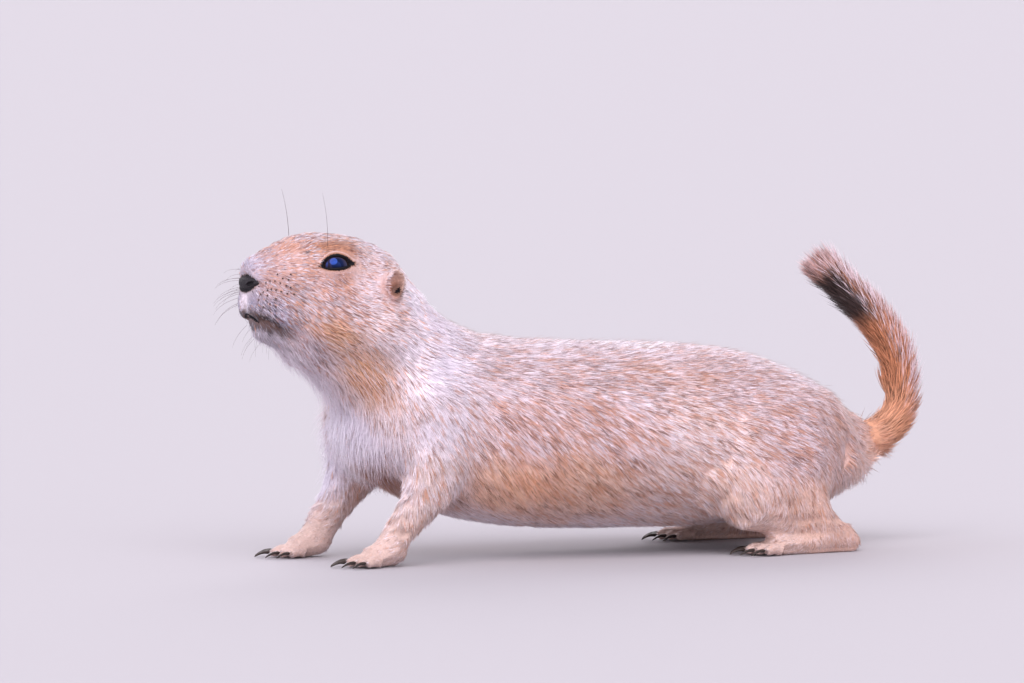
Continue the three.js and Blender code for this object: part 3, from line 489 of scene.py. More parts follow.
HEAD_PLACES = {
    "nose_top": ((57, 0, 8), (-1, 0, 0.4), 2.0, 0.4, 15, 0.26, 5, mix("white", "blue", 0.5, 0.85), 0.3),
    "muzzle_front": (
        (56, 4, -6), (-0.3, 0.6, -0.7), 1.6, 0.5, 16, 0.26, 5, mix("white", "blue", 0.3, 0.68), 0.2,
    ),
    "muzzle_top": ((50, 0, 15), (-1, 0, 0.3), 2.4, 0.5, 15, 0.28, 4.8, mix("grey", "blue", 0.15, 0.68), 0.7),
    "muzzle_side": (
        (50, 10, 3), (-0.95, 0.2, -0.2), 2.4, 0.6, 12, 0.3, 4.6, mix("grey", "blue", 0.1, 0.84), 0.7,
    ),
    "lip": ((50, 10, -8), (-0.8, 0.2, -0.55), 2.6, 0.6, 18, 0.28, 5, mix("blue", "grey", 0.4, 0.9), 0.4),
    "bridge": ((42, 0, 21), (-1, 0, 0.25), 2.7, 0.6, 12, 0.32, 4, mix("grey", "blue", 0.1, 0.76), 0.8),
    "before_eye": ((41, 14, 9), (-1, 0.15, 0), 2.7, 0.6, 12, 0.32, 4, mix("grey", "rose", 0.35, 0.76), 0.75),
    "cheek_front": (
        (38, 17, -4), (-0.88, 0.1, -0.47), 3.4, 1.0, 14, 0.34, 3.6, mix("white", "grey", 0.5, 0.78), 0.7,
    ),
    "under_eye": (
        (28, 21, 6), (-0.9, 0.1, -0.4), 3.0, 0.8, 12, 0.34, 3.6, mix("rose", "grey", 0.5, 0.84), 0.75,
    ),
    "cheek": (
        (22, 23, -3), (-0.93, 0, -0.35), 4.2, 1.6, 14, 0.36, 3.0, mix("white", "rose", 0.3, 0.78), 0.75,
    ),
    "cheek_low": (
        (26, 20, -13), (-0.97, 0, -0.22), 4.6, 1.8, 16, 0.38, 2.9, mix("gold", "buff", 0.4, 0.92), 0.6,
    ),
    "jaw": ((32, 14, -19), (-0.95, 0, -0.35), 4.5, 1.6, 22, 0.36, 3.0, mix("grey", "rose", 0.4), 0.35),
    "chin": ((46, 0, -19), (-0.8, 0, -0.6), 2.8, 0.8, 26, 0.3, 4.0, mix("white", "grey", 0.4, 0.8), 0.1),
    "chin_rear": ((34, 0, -24), (-0.9, 0, -0.5), 4.5, 1.6, 30, 0.34, 3.2, mix("white", "cream", 0.4), 0.05),
    "above_eye": (
        (28, 16, 21), (-1, 0, 0.05), 2.8, 0.7, 12, 0.32, 4, mix("cinnamon", "rose", 0.4, 0.45), 0.7,
    ),
    "forehead": ((30, 0, 27), (-1, 0, 0.05), 3.0, 0.7, 12, 0.34, 3.8, mix("white", "grey", 0.3, 0.66), 0.6),
    "crown": ((8, 0, 27), (-1, 0, -0.25), 4, 1.2, 15, 0.36, 3.0, mix("white", "grey", 0.2, 0.74), 0.4),
    "temple": ((10, 20, 17), (-1, 0.1, -0.1), 3.2, 1.2, 13, 0.34, 3.2, mix("white", "rose", 0.2, 0.76), 0.5),
    "before_ear": (
        (12, 24, 8), (-1, 0.15, -0.15), 3.2, 1.1, 13, 0.34, 3.3, mix("white", "rose", 0.35, 0.84), 0.4,
    ),
    "under_ear": (
        (4, 25, -4), (-0.97, 0, -0.3), 4.5, 1.8, 16, 0.38, 2.7, mix("cream", "rose", 0.25, 0.96), 0.35,
    ),
    "behind_ear": (
        (-9, 20, 8), (-0.93, 0, -0.4), 4.5, 1.6, 16, 0.38, 2.5, mix("white", "cream", 0.2, 1.05), 0.05,
    ),
    "ear_rim": ((1, 25, 14), (-0.6, 0.3, 0.6), 2.2, 0.2, 20, 0.26, 5, mix("buff", "cream", 0.4, 0.9), 0.3),
    "neck_edge": ((-10, 24, -14), (-0.9, 0, -0.5), 6, 2.2, 20, 0.42, 2.0, mix("cream", "white", 0.5), 0.2),
}


def place_table():
    """Where the places are in the body's frame, and a row of numbers for each."""
    rows = []
    for places, on_the_head in ((BODY_PLACES, False), (HEAD_PLACES, True)):
        for at, lie, *rest in places.values():
            for side in ((1, -1) if abs(at[1]) > 2 else (1,)):
                spot = np.array((at[0], at[1] * side, at[2]), float)
                way = np.array((lie[0], lie[1] * side, lie[2]), float)
                if on_the_head:
                    spot, way = from_head(spot), way @ HEAD_AXES
                rows.append((spot, unit(way), *rest))
    spots = np.array([r[0] for r in rows])
    values = np.array([[*r[1], *r[2:7], *r[7], r[8]] for r in rows])
    return spots, values


PLACE_SPOTS, PLACE_VALUES = place_table()
COLUMNS = {
    "lie": slice(0, 3), "length": 3, "depth": 4, "lift": 5, "width": 6, "density": 7,
    "colour": slice(8, 11), "flecks": 11,
}


def coat_at(points):
    """Each column of the table at each point, mixed from the nearest places."""
    out = np.empty((len(points), PLACE_VALUES.shape[1]))
    for start in range(0, len(points), 20000):
        p = points[start:start + 20000] / MM
        away = ((p[:, None, :] - PLACE_SPOTS[None]) ** 2).sum(2)
        weight = 1 / (away + 9) ** 2.2
        weight /= weight.sum(1, keepdims=True)
        out[start:start + 20000] = weight @ PLACE_VALUES
    return out


print("places in the coat's map:", len(PLACE_SPOTS))

# %% [markdown]
# ## Smoothing the facets, and thinning
# The solids' facets are up to 9 mm wide on the trunk and 3 mm on the face. Repeated averaging rounds
# them, with a push back after each pull so that the body doesn't shrink. The broad parts are thinned
# first, because a coarser mesh smooths sooner. The ears, toes and face are kept finer and smoothed less.

# %% Thin, then smooth
def near_tail(points):
    """How far each point is from the tail's line in mm, and its share of the way along it."""
    p = points / MM
    best = np.full(len(p), 1e9)
    where = np.zeros(len(p))
    for k, spot in enumerate(tail_line):
        away = np.linalg.norm(p - spot, axis=1)
        closer = away < best
        best[closer] = away[closer]
        where[closer] = k / (len(tail_line) - 1)
    return best, where


SKIN_TRIANGLES = 176000
co = points_of(skin_mesh)
lump = show("lump", skin_mesh)
group = lump.vertex_groups.new(name="broad")
broad = 1 - fineness(co)
for share in (0.25, 0.5, 0.75, 1.0):
    chosen = np.nonzero((broad > share - 0.25) & (broad <= share))[0]
    group.add(chosen.tolist(), share, "REPLACE")
thin = lump.modifiers.new("thin", "DECIMATE")
thin.ratio = SKIN_TRIANGLES / (2 * len(skin_mesh.polygons))
thin.vertex_group = "broad"
thin.vertex_group_factor = 1.0
thin.use_collapse_triangulate = True
skin_mesh = baked(lump)
print("after thinning:", len(skin_mesh.polygons), "triangles")

near = Neighbours(skin_mesh)
co = points_of(skin_mesh)
fine = fineness(co)
head_places = on_head(co)
ears = np.exp(-(((np.abs(head_places) - (3, 23.5, 10)) / (7, 4, 8)) ** 2).sum(1)) * (head_places[:, 0] > -8)
co = near.relax(co, 45, (1 - fine) ** 2)
co = near.relax(co, 7, fine * (1 - np.clip(1.5 * ears, 0, 0.85)))

# %% [markdown]
# ## Forms that averaging wears away
# The crest of the muzzle, the crown, the chin and the front of the lips are pushed back into shape by
# soft weights in the head's frame. Behind the thighs it is the other way round: the solids meet there in
# a deep fold, which real skin doesn't have, so plain averaging fills it. The heels are drawn in and made
# narrower.

# %% The muzzle's crest, the crown and the chin
ahead, left, above = on_head(co).T
crest = np.interp(ahead, [44, 49, 51.5, 53, 55, 57, 60, 64], [0.2, 2.1, 3.7, 3.5, 3.1, 4.2, 6.5, 6.5])
crest *= np.exp(-((left / 7.5) ** 2)) * smooth((above - 4) / 6)
crown = (1.35 - 0.75 * smooth((ahead - 14) / 10)) * smooth((above - 14) / 8)
crown = crown * smooth((ahead + 12) / 10) * (1 - smooth((ahead - 46) / 6))
crown *= np.exp(-((left / 14) ** 2))
chin = 1.2 * np.exp(-(((ahead - 48) / 6) ** 2) - (left / 8) ** 2 - ((above + 17) / 6) ** 2)
FRONT_HEIGHTS = [-12, -9, -6, -3, 1, 5, 7, 9.2, 11.3, 14]
front = np.interp(above, FRONT_HEIGHTS, [0, 0.6, 0.9, 0.5, 1.4, 2.5, 2.4, 1.8, 0.9, 0])
front = front * smooth((ahead - 46) / 7) * np.exp(-((left / 9) ** 4))
front *= smooth((np.hypot(left / 5.8, (above - 1.8) / 4.2) - 0.7) / 0.6)
co = co + ((crest + crown)[:, None] * ABOVE + (1.4 * ears - chin + front)[:, None] * AHEAD) * MM
bump = np.exp(-(((ahead - 53) / 7) ** 2) - (left / 9) ** 2 - ((above - 16) / 8) ** 2)
co = near.level(co, 22, bump)
print("crest of the muzzle, mm:", round(float(crest.max()), 1))

# %% Heels, folds and the core of the tail
HEEL_IN = 4.0
HEEL_LINE = 38
x, y, z = co.T / MM
co = near.relax(co, 24, np.exp(-(((x - 119) / 10) ** 2) - (y / 16) ** 2 - ((z - 42) / 12) ** 2))
heel = smooth((x - 90) / 14) * smooth((z - 3) / 9) * (1 - smooth((z - 26) / 10)) * (np.abs(y) > 20)
co[:, 0] -= HEEL_IN * heel * MM
narrow = smooth((x - 88) / 14) * (1 - smooth((z - 14) / 8)) * (np.abs(y) > 20)
co[:, 1] += 0.3 * narrow * (np.sign(y) * HEEL_LINE - y) * MM
x, y, z = co.T / MM
seat = smooth((x - 86) / 10) * smooth((np.abs(y) - 10) / 6)
seat = seat * smooth((z - 17) / 7) * (1 - smooth((z - 54) / 10))
co = near.level(co, 170, seat)
sole_edge = smooth((x - 84) / 8) * (1 - smooth((z - 16) / 8)) * (np.abs(y) > 18)
co = near.level(co, 14, sole_edge)
tail_away, tail_share = near_tail(co)
roomy = np.interp(tail_share, [0.1, 0.16, 0.24, 0.34, 0.5, 0.95], [12, 8.0, 6.2, 4.8, 4.0, 2.5])
on_line = np.stack([np.interp(tail_share, np.linspace(0, 1, 120), tail_line[:, k]) for k in range(3)], 1)
pulled = (tail_share > 0.1) & (tail_away > roomy) & (tail_away < 13)
shrink = np.where(pulled, roomy / np.maximum(tail_away, 1e-6), 1)[:, None]
co = on_line * MM * (1 - shrink) + co * shrink
co = near.relax(co, 5, smooth((tail_share - 0.1) / 0.05) * (tail_away < 13))
put_points(skin_mesh, co)
print("heels drawn in, mm:", round(HEEL_IN * float(heel.max()), 1))

# %% [markdown]
# ## The skin under the coat
# The solids stop at the tips of the hair, so the skin has to lie inside them by the coat's depth: 3 mm on
# the back, half a millimetre on the muzzle and toes, nothing at the soles, which stay on the floor. Each
# vertex is moved in along its own normal, averaged with its neighbours' so that creases don't cross.

# %% Draw the skin in
skin_normals = normals_of(skin_mesh)
for _ in range(4):
    skin_normals = unit(near.mean(skin_normals) + skin_normals)
for _ in range(30):
    skin_normals = unit(seat[:, None] * near.mean(skin_normals) + skin_normals)
depth = coat_at(co)[:, COLUMNS["depth"]]
tail_away, tail_share = near_tail(co)
in_brush = smooth((tail_share - 0.30) / 0.1) * (tail_away < 12)
depth = depth * (1 - in_brush) + 0.1 * in_brush
depth = np.where((tail_share > 0.13) & (tail_away < 9), np.minimum(depth, 0.1), depth)
depth *= 1 - np.clip(1.4 * ears, 0, 0.9)
sole = smooth((1.4 - co[:, 2] / MM) / 1.2) * smooth((-skin_normals[:, 2] - 0.2) / 0.3)
depth *= 1 - sole
co = co - skin_normals * (depth * MM + swell_at(co) - 0.14 * MM)[:, None]
co = near.relax(co, 2, 1 - np.clip(2 * ears, 0, 0.9))
co = near.level(co, 30, seat)
co[:, 2] = np.maximum(co[:, 2], 0)
print("coat depth, mm:", round(float(depth.min()), 2), "to", round(float(depth.max()), 2))

# %% [markdown]
# ## Lids, lips and ears in the skin
# An eye is a ball behind an almond-shaped slit. The skin inside the slit is pressed behind the ball, the
# skin round it stays above the ball as the lids, and a shallow crease follows the upper lid. The line of
# the mouth, the groove under the nose and the hole of each ear are pressed in the same way, by how far a
# vertex is from a line or a spot given in the head's frame.

# %% The almond of the eye
EYE_AT = (26.88, 14.0, 13.0)
EYE_RADIUS = 6.5
EYE_GAZE = (0.3, 0.92, 0.2)
SLIT_HALF = 7.0
SLIT_TOP, SLIT_BOTTOM = 7.4, -3.9


def slit_edge(a, peak, skew, front=-0.7, rear=1.3):
    """Height of a lid's edge at the place a, from 1 at the front corner to -1 at the rear one, in mm."""
    t = np.linspace(0, 1, 60)
    along = (1 - t) ** 2 * 1 + 2 * t * (1 - t) * skew - t**2
    height = (1 - t) ** 2 * front + 2 * t * (1 - t) * peak + t**2 * rear
    return np.interp(a, along[::-1], height[::-1])


def eye_frame(side):
    """The eye's middle in mm and its axes: towards the nose, up, and along the gaze."""
    middle = from_head((EYE_AT[0], EYE_AT[1] * side, EYE_AT[2]))
    gaze = unit(np.array((EYE_GAZE[0], EYE_GAZE[1] * side, EYE_GAZE[2])) @ HEAD_AXES)
    up = np.array((0.08, 0, 1)) @ HEAD_AXES
    up = unit(up - gaze * (up @ gaze))
    nosewards = np.cross(up, gaze)
    nosewards *= math.copysign(1, nosewards @ AHEAD)
    return middle, np.array([nosewards, up, gaze])


def slit_depth(points, side):
    """How far inside the slit each point is, in mm, seen along the gaze; negative outside it."""
    middle, axes = eye_frame(side)
    a, b, c = ((points / MM - middle) @ axes.T).T
    share = np.clip(a / SLIT_HALF, -1, 1)
    over = slit_edge(share, SLIT_TOP, 0.25)
    under = slit_edge(share, SLIT_BOTTOM, 0.0)
    inside = np.minimum(over - b, b - under)
    inside = np.minimum(inside, (SLIT_HALF - np.abs(a)) * 0.8)
    return np.where((c > 0) & (a * a + b * b < 260), inside, -9), a, b, c


LIDS_OVER = 0.75
for side in (1, -1):
    middle, axes = eye_frame(side)
    inside, _, b, c = slit_depth(co, side)
    opened = smooth((inside + 0.25) / 0.7)
    local = (co / MM - middle) @ axes.T
    reach = np.linalg.norm(local, axis=1)
    close = (reach < EYE_RADIUS + 4) & (c > 0)
    lifted = np.maximum(reach, EYE_RADIUS + LIDS_OVER * smooth((3 + inside) / 2))
    crease = 0.45 * np.exp(-(((inside + 2.5) / 0.6) ** 2)) * (b > 0)
    wanted = (lifted - crease) * (1 - opened) + (EYE_RADIUS - 1.8) * opened
    moved = middle + (local * (wanted / reach)[:, None]) @ axes
    co[close] = moved[close] * MM


# %% Mouth, groove and ear holes
def away_from_line(points, line):
    """Distance in mm from head places to a bent line, and the share of the way along it."""
    line = np.asarray(line, float)
    best = np.full(len(points), 1e9)
    share = np.zeros(len(points))
    for k, (p, q) in enumerate(zip(line, line[1:])):
        t = np.clip(((points - p) @ (q - p)) / ((q - p) @ (q - p)), 0, 1)
        away = np.linalg.norm(points - (p + t[:, None] * (q - p)), axis=1)
        closer = away < best
        best[closer] = away[closer]
        share[closer] = (k + t[closer]) / (len(line) - 1)
    return best, share


def both_sides(places):
    """Head places with the left side standing for both."""
    folded = np.array(places)
    folded[:, 1] = np.abs(folded[:, 1])
    return folded


MOUTH_LINE = [
    (54.8, 0, -11.0), (53.4, 2.6, -12.0), (50.8, 6, -13.4),
    (47.2, 7.6, -15.0), (41, 8.6, -17.0), (37, 9.6, -18.6),
]
# A line under the front of the mouth, along which the dark lips and the painted shade below them are laid.
LIP_AND_SHADE_BAND = [(55.6, 0, -11.3), (54.5, 0, -11.6), (50, 0, -12.8), (45, 0, -14.1), (41.5, 0, -15.0)]
GROOVE = [(59, 0, -2), (57.6, 0, -6), (55.2, 0, -11.4)]
EAR_HOLE = (0.9, 23.0, 7.8)

folded = both_sides(on_head(co))
from_mouth, _ = away_from_line(folded, MOUTH_LINE)
from_groove, _ = away_from_line(folded, GROOVE)
from_hole = np.linalg.norm(folded - EAR_HOLE, axis=1)
press = 1.3 * np.exp(-((from_mouth / 0.9) ** 2)) + 0.5 * np.exp(-((from_groove / 0.6) ** 2))
co = co - skin_normals * press[:, None] * MM
hole_way = np.array([np.array((0.2, -np.sign(s), -0.1)) @ HEAD_AXES for s in (1, -1)])
sunk = 2.6 * np.exp(-((from_hole / 1.9) ** 2))
on_left = on_head(co)[:, 1] > 0
co = co + np.where(on_left[:, None], hole_way[0], hole_way[1]) * sunk[:, None] * MM
put_points(skin_mesh, co)
for face in skin_mesh.polygons:
    face.use_smooth = True
skin = show("skin", skin_mesh)
print("skin:", len(skin_mesh.polygons), "triangles")

# %% [markdown]
# ## A map to bake on
# Anyone who reuses the model bakes its colours on a flat map, so the skin is unwrapped by its own shape.
# Each tuft of the coat later takes a small patch of that map, at its root's place.

# %% Unwrap the skin
bpy.context.view_layer.objects.active = skin
skin.select_set(True)
skin_mesh.uv_layers.new(name="OFBake")
bpy.ops.object.mode_set(mode="EDIT")
bpy.ops.mesh.select_all(action="SELECT")
bpy.ops.uv.smart_project(angle_limit=math.radians(70), island_margin=0.002)
bpy.ops.object.mode_set(mode="OBJECT")
skin.select_set(False)
uv = np.empty(len(skin_mesh.loops) * 2)
skin_mesh.uv_layers["OFBake"].data.foreach_get("uv", uv)
uv = uv.reshape(-1, 2)
print("map runs from", uv.min(0).round(3), "to", uv.max(0).round(3))

# %% [markdown]
# ## Markings
# The map gives the broad colours. Smaller markings are soft spots laid over it: the brown patch over the
# eye, the gold of the cheek and neck, dark lips, the dots that the whiskers grow from. Some spots are
# painted shade: the dark in the ear holes and nostrils, below the mouth, under the jaw and between the
# forelegs. The orange on the low flank behind the elbow is painted lighter, for light thrown up from below.
# Skin and coat ask the same function for their colour, so that they always agree.

# %% Soft spots of colour
NOSE_AT = (55.8, 0.0, 1.8)
NOSE_RADII = (4.3, 5.8, 3.9)
# name: head place mm, radii mm, colour, strength; the left side stands for both
HEAD_MARKS = {
    "bridge_gold": ((44, 6, 18.5), (6.5, 4.5, 2.6), mix("orange", "cinnamon", 0.3, 0.75), 0.6),
    "brow_patch": ((35, 14, 20.6), (4.6, 4, 2.2), mix("cinnamon", "russet", 0.5, 0.45), 0.85),
    "brow_arc": ((29, 16, 21.2), (7.5, 4, 1.7), mix("orange", "russet", 0.4, 0.5), 0.8),
    "before_eye_gold": ((38, 16, 12), (3.4, 3, 4), mix("orange", "cinnamon", 0.35, 0.75), 0.45),
    "behind_eye": ((17.5, 20, 14.5), (3.5, 4, 2.6), mix("orange", "buff", 0.5, 0.75), 0.4),
    "cheek_gold": ((30, 18, -11.5), (9, 6, 3.0), mix("ochre", "orange", 0.3), 0.6),
    "jowl_gold": ((20, 20, -17), (8, 8, 4), mix("ochre", "buff", 0.4, 1.05), 0.5),
    "cheek_brown": ((24, 22, -5), (4, 4, 3), COLOURS["cinnamon"], 0.5),
    "cheek_orange": ((24, 22, 7), (3, 4, 5), mix("orange", "buff", 0.3, 0.95), 0.45),
    # Dark lips, and painted shade below the mouth.
    "lip_front": ((52.5, 7.2, -11.2), (4.4, 4.6, 2.8), mix("black", "black", 0, 0.8), 0.95),
    "lip_rear": ((46, 8.8, -14.4), (5, 4.4, 2.3), mix("black", "black", 0, 0.8), 0.92),
    "lip_corner": ((40, 9.0, -16.6), (4, 4, 1.7), mix("black", "slate", 0.2), 0.8),
    "lip_blue": ((55.6, 5.8, -5.6), (3.8, 4, 4.8), mix("blue", "slate", 0.4, 0.8), 0.85),
    "muzzle_stripe": ((58, 0, -6.5), (4, 2.4, 5), mix("white", "white", 0, 1.15), 0.9),
    "jowl_shade": ((34, 14, -17.5), (7, 4, 2.2), mix("umber", "slate", 0.4), 0.35),
    "ear_cup": ((4.2, 23.6, 8.2), (4.4, 3.8, 5.8), mix("russet", "orange", 0.25, 0.9), 0.95),
    # Painted shade: the hole of each ear is painted near black, for the shade inside it.
    "ear_hole_shade": ((1.6, 23.2, 8.0), (2.6, 3.5, 3.2), mix("black", "umber", 0.2, 0.25), 0.97),
    "ear_hairs": ((6.6, 24, 12.0), (1.2, 3, 2.4), COLOURS["white"], 0.6),
    "ear_foot": ((1.0, 25, 2.2), (2.4, 3, 1.8), mix("grey", "cream", 0.5), 0.6),
    "behind_ear": ((-5, 22, 8), (3.4, 6, 9), mix("white", "white", 0, 1.1), 0.75),
    "brow_dot": ((40.2, 12.4, 17.6), (1.3, 1.8, 0.9), COLOURS["black"], 0.95),
    "bridge_dot": ((46.9, 8.1, 14.0), (0.8, 1.2, 0.8), COLOURS["umber"], 0.9),
    "cheek_dot": ((16.2, 24, -0.3), (1.0, 1.5, 0.8), COLOURS["umber"], 0.9),
}
BODY_MARKS = {
    "neck_band": ((-106.5, -20, 75), (12, 9, 5), mix("ochre", "orange", 0.2, 0.92), 0.95),
    "neck_band_low": ((-100, -25, 67.5), (9, 8, 5.5), mix("ochre", "orange", 0.15, 0.95), 0.9),
    "neck_band_end": ((-96, -29, 60), (6, 7, 6), mix("gold", "cream", 0.4), 0.5),
    "chest_edge": ((-105, 14, 50), (9, 14, 26), mix("white", "white", 0, 1.3), 0.8),
    "neck_white": ((-84, -28, 90), (12, 8, 7), COLOURS["white"], 0.6),
    "belt": ((-45, -41, 44), (3.6, 9, 10), mix("cinnamon", "umber", 0.5), 0.5),
    # Orange fur with painted light: it is made lighter than the fur, for light thrown up onto the low flank
    # from below.
    "elbow_gold_and_bounce_light": ((-37, -37, 31), (15, 9, 9), mix("orange", "gold", 0.3, 1.3), 0.5),
    "side_gold": ((14, -30, 76), (8, 7, 4), mix("gold", "orange", 0.3), 0.35),
    "rear_gold": ((36, -33, 70), (9, 7, 4), mix("gold", "orange", 0.4), 0.35),
    "elbow_cream": ((-58, -36, 27), (5, 7, 5), mix("cream", "ochre", 0.3), 0.6),
    "leg_white": ((-99, -36, 38), (5, 7, 13), COLOURS["white"], 0.6),
    "leg_inside": ((-101, -18, 44), (6, 11, 14), mix("white", "white", 0, 1.2), 0.8),
    # Painted shade: a brown spot for the shade between the forelegs.
    "shade_between_legs": ((-93, -6, 33), (9, 12, 11), mix("umber", "russet", 0.5, 0.9), 0.85),
    "knee_side": ((-84, -22, 24), (8, 4, 12), COLOURS["cinnamon"], 0.4),
}
LEFT_MARKS = {
    "pale_fleck": ((5.5, -42.5, 64.0), (5.2, 5, 2.2), mix("white", "white", 0, 1.15), 1.0),
    "pale_patch": ((20, -46.6, 51.0), (3.8, 5, 4.4), mix("white", "white", 0, 1.15), 1.0),
}
WHISKER_BEDS = [
    (53.3, 8.1, 3.0), (52.0, 8.8, 3.9), (50.3, 9.7, 4.2), (48.4, 10.9, 3.7),
    (46.2, 12.2, 3.1), (44.6, 13.1, 2.5), (53.9, 8.1, -0.8), (52.6, 8.9, 0.1),
    (51.3, 9.5, 0.8), (49.6, 10.3, 0.7), (47.7, 11.4, 0.4), (45.5, 12.6, 0.0),
    (42.9, 13.8, 0.1), (54.7, 7.6, -1.8), (52.5, 9.2, -2.0), (49.4, 10.9, -2.8),
    (49.5, 9.6, 7.0), (47.7, 11.1, 5.7), (45.1, 12.5, 7.8), (45.7, 12.4, 5.5),
    (55.1, 7.4, -4.2), (53.5, 9.0, -6.7), (51.3, 10.2, -5.2), (49.1, 11.4, -6.0),
]
TONE_RANGE = (0.004, 0.95)


def waves(points, seed, length, count=7):
    """Smooth random values about 0 at points in mm, that change over the given length."""
    draw = np.random.default_rng(seed)
    ways = unit(draw.normal(size=(count, 3))) * (2 * math.pi / length) * draw.uniform(0.6, 1.5, (count, 1))
    turns = draw.uniform(0, 2 * math.pi, count)
    return np.sin(points @ ways.T + turns).sum(1) / math.sqrt(count)


def towards(colour, goal, share):
    """Each colour moved a share of the way to another."""
    return colour + np.reshape(share, (-1, 1)) * (np.asarray(goal) - colour)


def lay_mark(colour, points, spot, radii, paint, strength, power):
    """A soft spot of paint; the higher the power, the sharper its edge."""
    return towards(colour, paint, strength * np.exp(-((((points - spot) / radii) ** 2).sum(1) ** power)))


def marked_colour(points, table):
    """The coat's colour at points in metres, with every marking and every spot of painted shade and light."""
    mm = points / MM
    colour = table[:, COLUMNS["colour"]].copy()
    colour *= (1 + 0.05 * waves(mm, 3, 14) + 0.03 * waves(mm, 4, 5))[:, None]
    head = both_sides(on_head(points))
    shaken = head + 0.5 * np.stack([waves(mm, s, 4) for s in (5, 6, 7)], 1)
    for spot, radii, paint, strength in HEAD_MARKS.values():
        colour = lay_mark(colour, shaken, spot, radii, paint, strength, 1.3)
    for spot in WHISKER_BEDS:
        colour = lay_mark(colour, head, spot, (0.6, 1.4, 0.5), COLOURS["umber"], 0.5, 1.5)
    loose = mm + 1.2 * np.stack([waves(mm, s, 7) for s in (8, 9, 10)], 1)
    folded_loose = loose.copy()
    folded_loose[:, 1] = -np.abs(folded_loose[:, 1])
    for spot, radii, paint, strength in BODY_MARKS.values():
        colour = lay_mark(colour, folded_loose, spot, radii, paint, strength, 1.2)
    for spot, radii, paint, strength in LEFT_MARKS.values():
        colour = lay_mark(colour, loose, spot, radii, paint, strength, 1.8)
    black = np.array(COLOURS["black"]) * 0.4
    from_lips, _ = away_from_line(head, MOUTH_LINE)
    from_cleft, _ = away_from_line(head, GROOVE)
    # Dark lip skin in part, painted shade in part: a near-black band under the front of the muzzle stands for
    # the shade below the mouth.
    from_band, along_band = away_from_line(shaken * (1, 0, 1), LIP_AND_SHADE_BAND)
    edge = np.maximum(from_band - 1.6 + 0.5 * along_band, 0) / (1.2 - 0.3 * along_band)
    lined = (0.86 - 0.22 * along_band) * np.exp(-(edge**3))
    lined = np.maximum(lined, 0.97 * np.exp(-((from_lips / 1.1) ** 4)))
    lined = np.maximum(lined, 0.9 * np.exp(-((from_cleft / 0.7) ** 2)))
    # Painted shade in part: the skin under the nose pad is painted near black. This is the pad's dark bare
    # skin at its edge, and the shade inside the nostrils.
    from_pad = np.linalg.norm((head - NOSE_AT) / NOSE_RADII, axis=1)
    lined = np.maximum(lined, 0.97 * smooth((1.15 - from_pad) / 0.15))
    colour = colour + np.minimum(lined, 0.97)[:, None] * (black - colour)
    for side in (1, -1):
        inside, _, b, _ = slit_depth(points, side)
        ring = np.exp(-(((inside + 1.7) / 0.36) ** 2)) * (0.5 * (b > 0) + 0.25 * (b <= 0))
        colour = colour + ring[:, None] * (np.array(COLOURS["white"]) - colour)
        rim = smooth((inside + 1.15) / 0.4)
        colour = colour + rim[:, None] * (np.array(COLOURS["black"]) * 0.2 - colour)
    return np.clip(colour, *TONE_RANGE)


def tail_colour(share, outer, along_hair, frosted):
    """The brush at a share of the tail: orange, frosted outside, black inside near the tip, pale ends."""
    inner = 1 - outer
    colour = np.tile(np.array(mix("orange", "umber", 0.25)), (len(share), 1))
    colour = towards(colour, mix("orange", "buff", 0.4), 0.7 * smooth((0.5 - share) / 0.3))
    band = smooth((share - 0.72) / 0.1) * (1 - smooth((share - 1.03) / 0.05))
    colour = towards(colour, np.array(COLOURS["black"]) * 0.8, band * (0.35 + 0.6 * smooth(inner / 0.5)))
    colour = towards(colour, mix("orange", "rose", 0.5), 0.8 * smooth((share - 1.03) / 0.05))
    frost = smooth((along_hair - 0.35) / 0.4) * frosted * smooth(outer / 0.6) * smooth((share - 0.28) / 0.15)
    ends = smooth((share - 1.06) / 0.05) * smooth((along_hair - 0.6) / 0.3)
    return towards(colour, mix("white", "rose", 0.4, 0.98), np.maximum(frost, 0.7 * ends))


# %% Colour the skin
co = points_of(skin_mesh)
skin_normals = normals_of(skin_mesh)
skin_table = coat_at(co)
tail_away, tail_share = near_tail(co)
skin_colour = marked_colour(co, skin_table)
flecks = skin_table[:, COLUMNS["flecks"]][:, None]
under = skin_colour * 0.92 + flecks * 0.6 * (np.array(mix("cinnamon", "orange", 0.5)) - skin_colour * 0.92)
in_brush = (smooth((tail_share - 0.14) / 0.1) * (tail_away < 12))[:, None]
turn_zero = np.zeros(len(co))
under = under + in_brush * (tail_colour(tail_share, turn_zero, turn_zero, turn_zero) * 0.7 - under)
paint = skin_mesh.color_attributes.new("coat", "FLOAT_COLOR", "POINT")
paint.data.foreach_set("color", np.column_stack([under, np.ones(len(co))]).astype(np.float32).ravel())
print("mean colour of the skin:", under.mean(0).round(3))

# %% [markdown]
# ## Fur as a finish
# A coat scatters light among its hairs, so it is rough, has a faint sheen at grazing angles, and varies
# from hair to hair. The colour comes from the painted attribute, broken up by fine noise. The skin has
# the same finish with a bump of short fibres, which is all that shows where the coat lies flat.

# %% Fur materials
def link(tree, a, b):
    tree.links.new(a, b)


def node(tree, kind, **values):
    """A new node with its inputs or settings set."""
    made = tree.nodes.new(kind)
    for key, value in values.items():
        if key in made.inputs:
            made.inputs[key].default_value = value
        else:
            setattr(made, key, value)
    return made


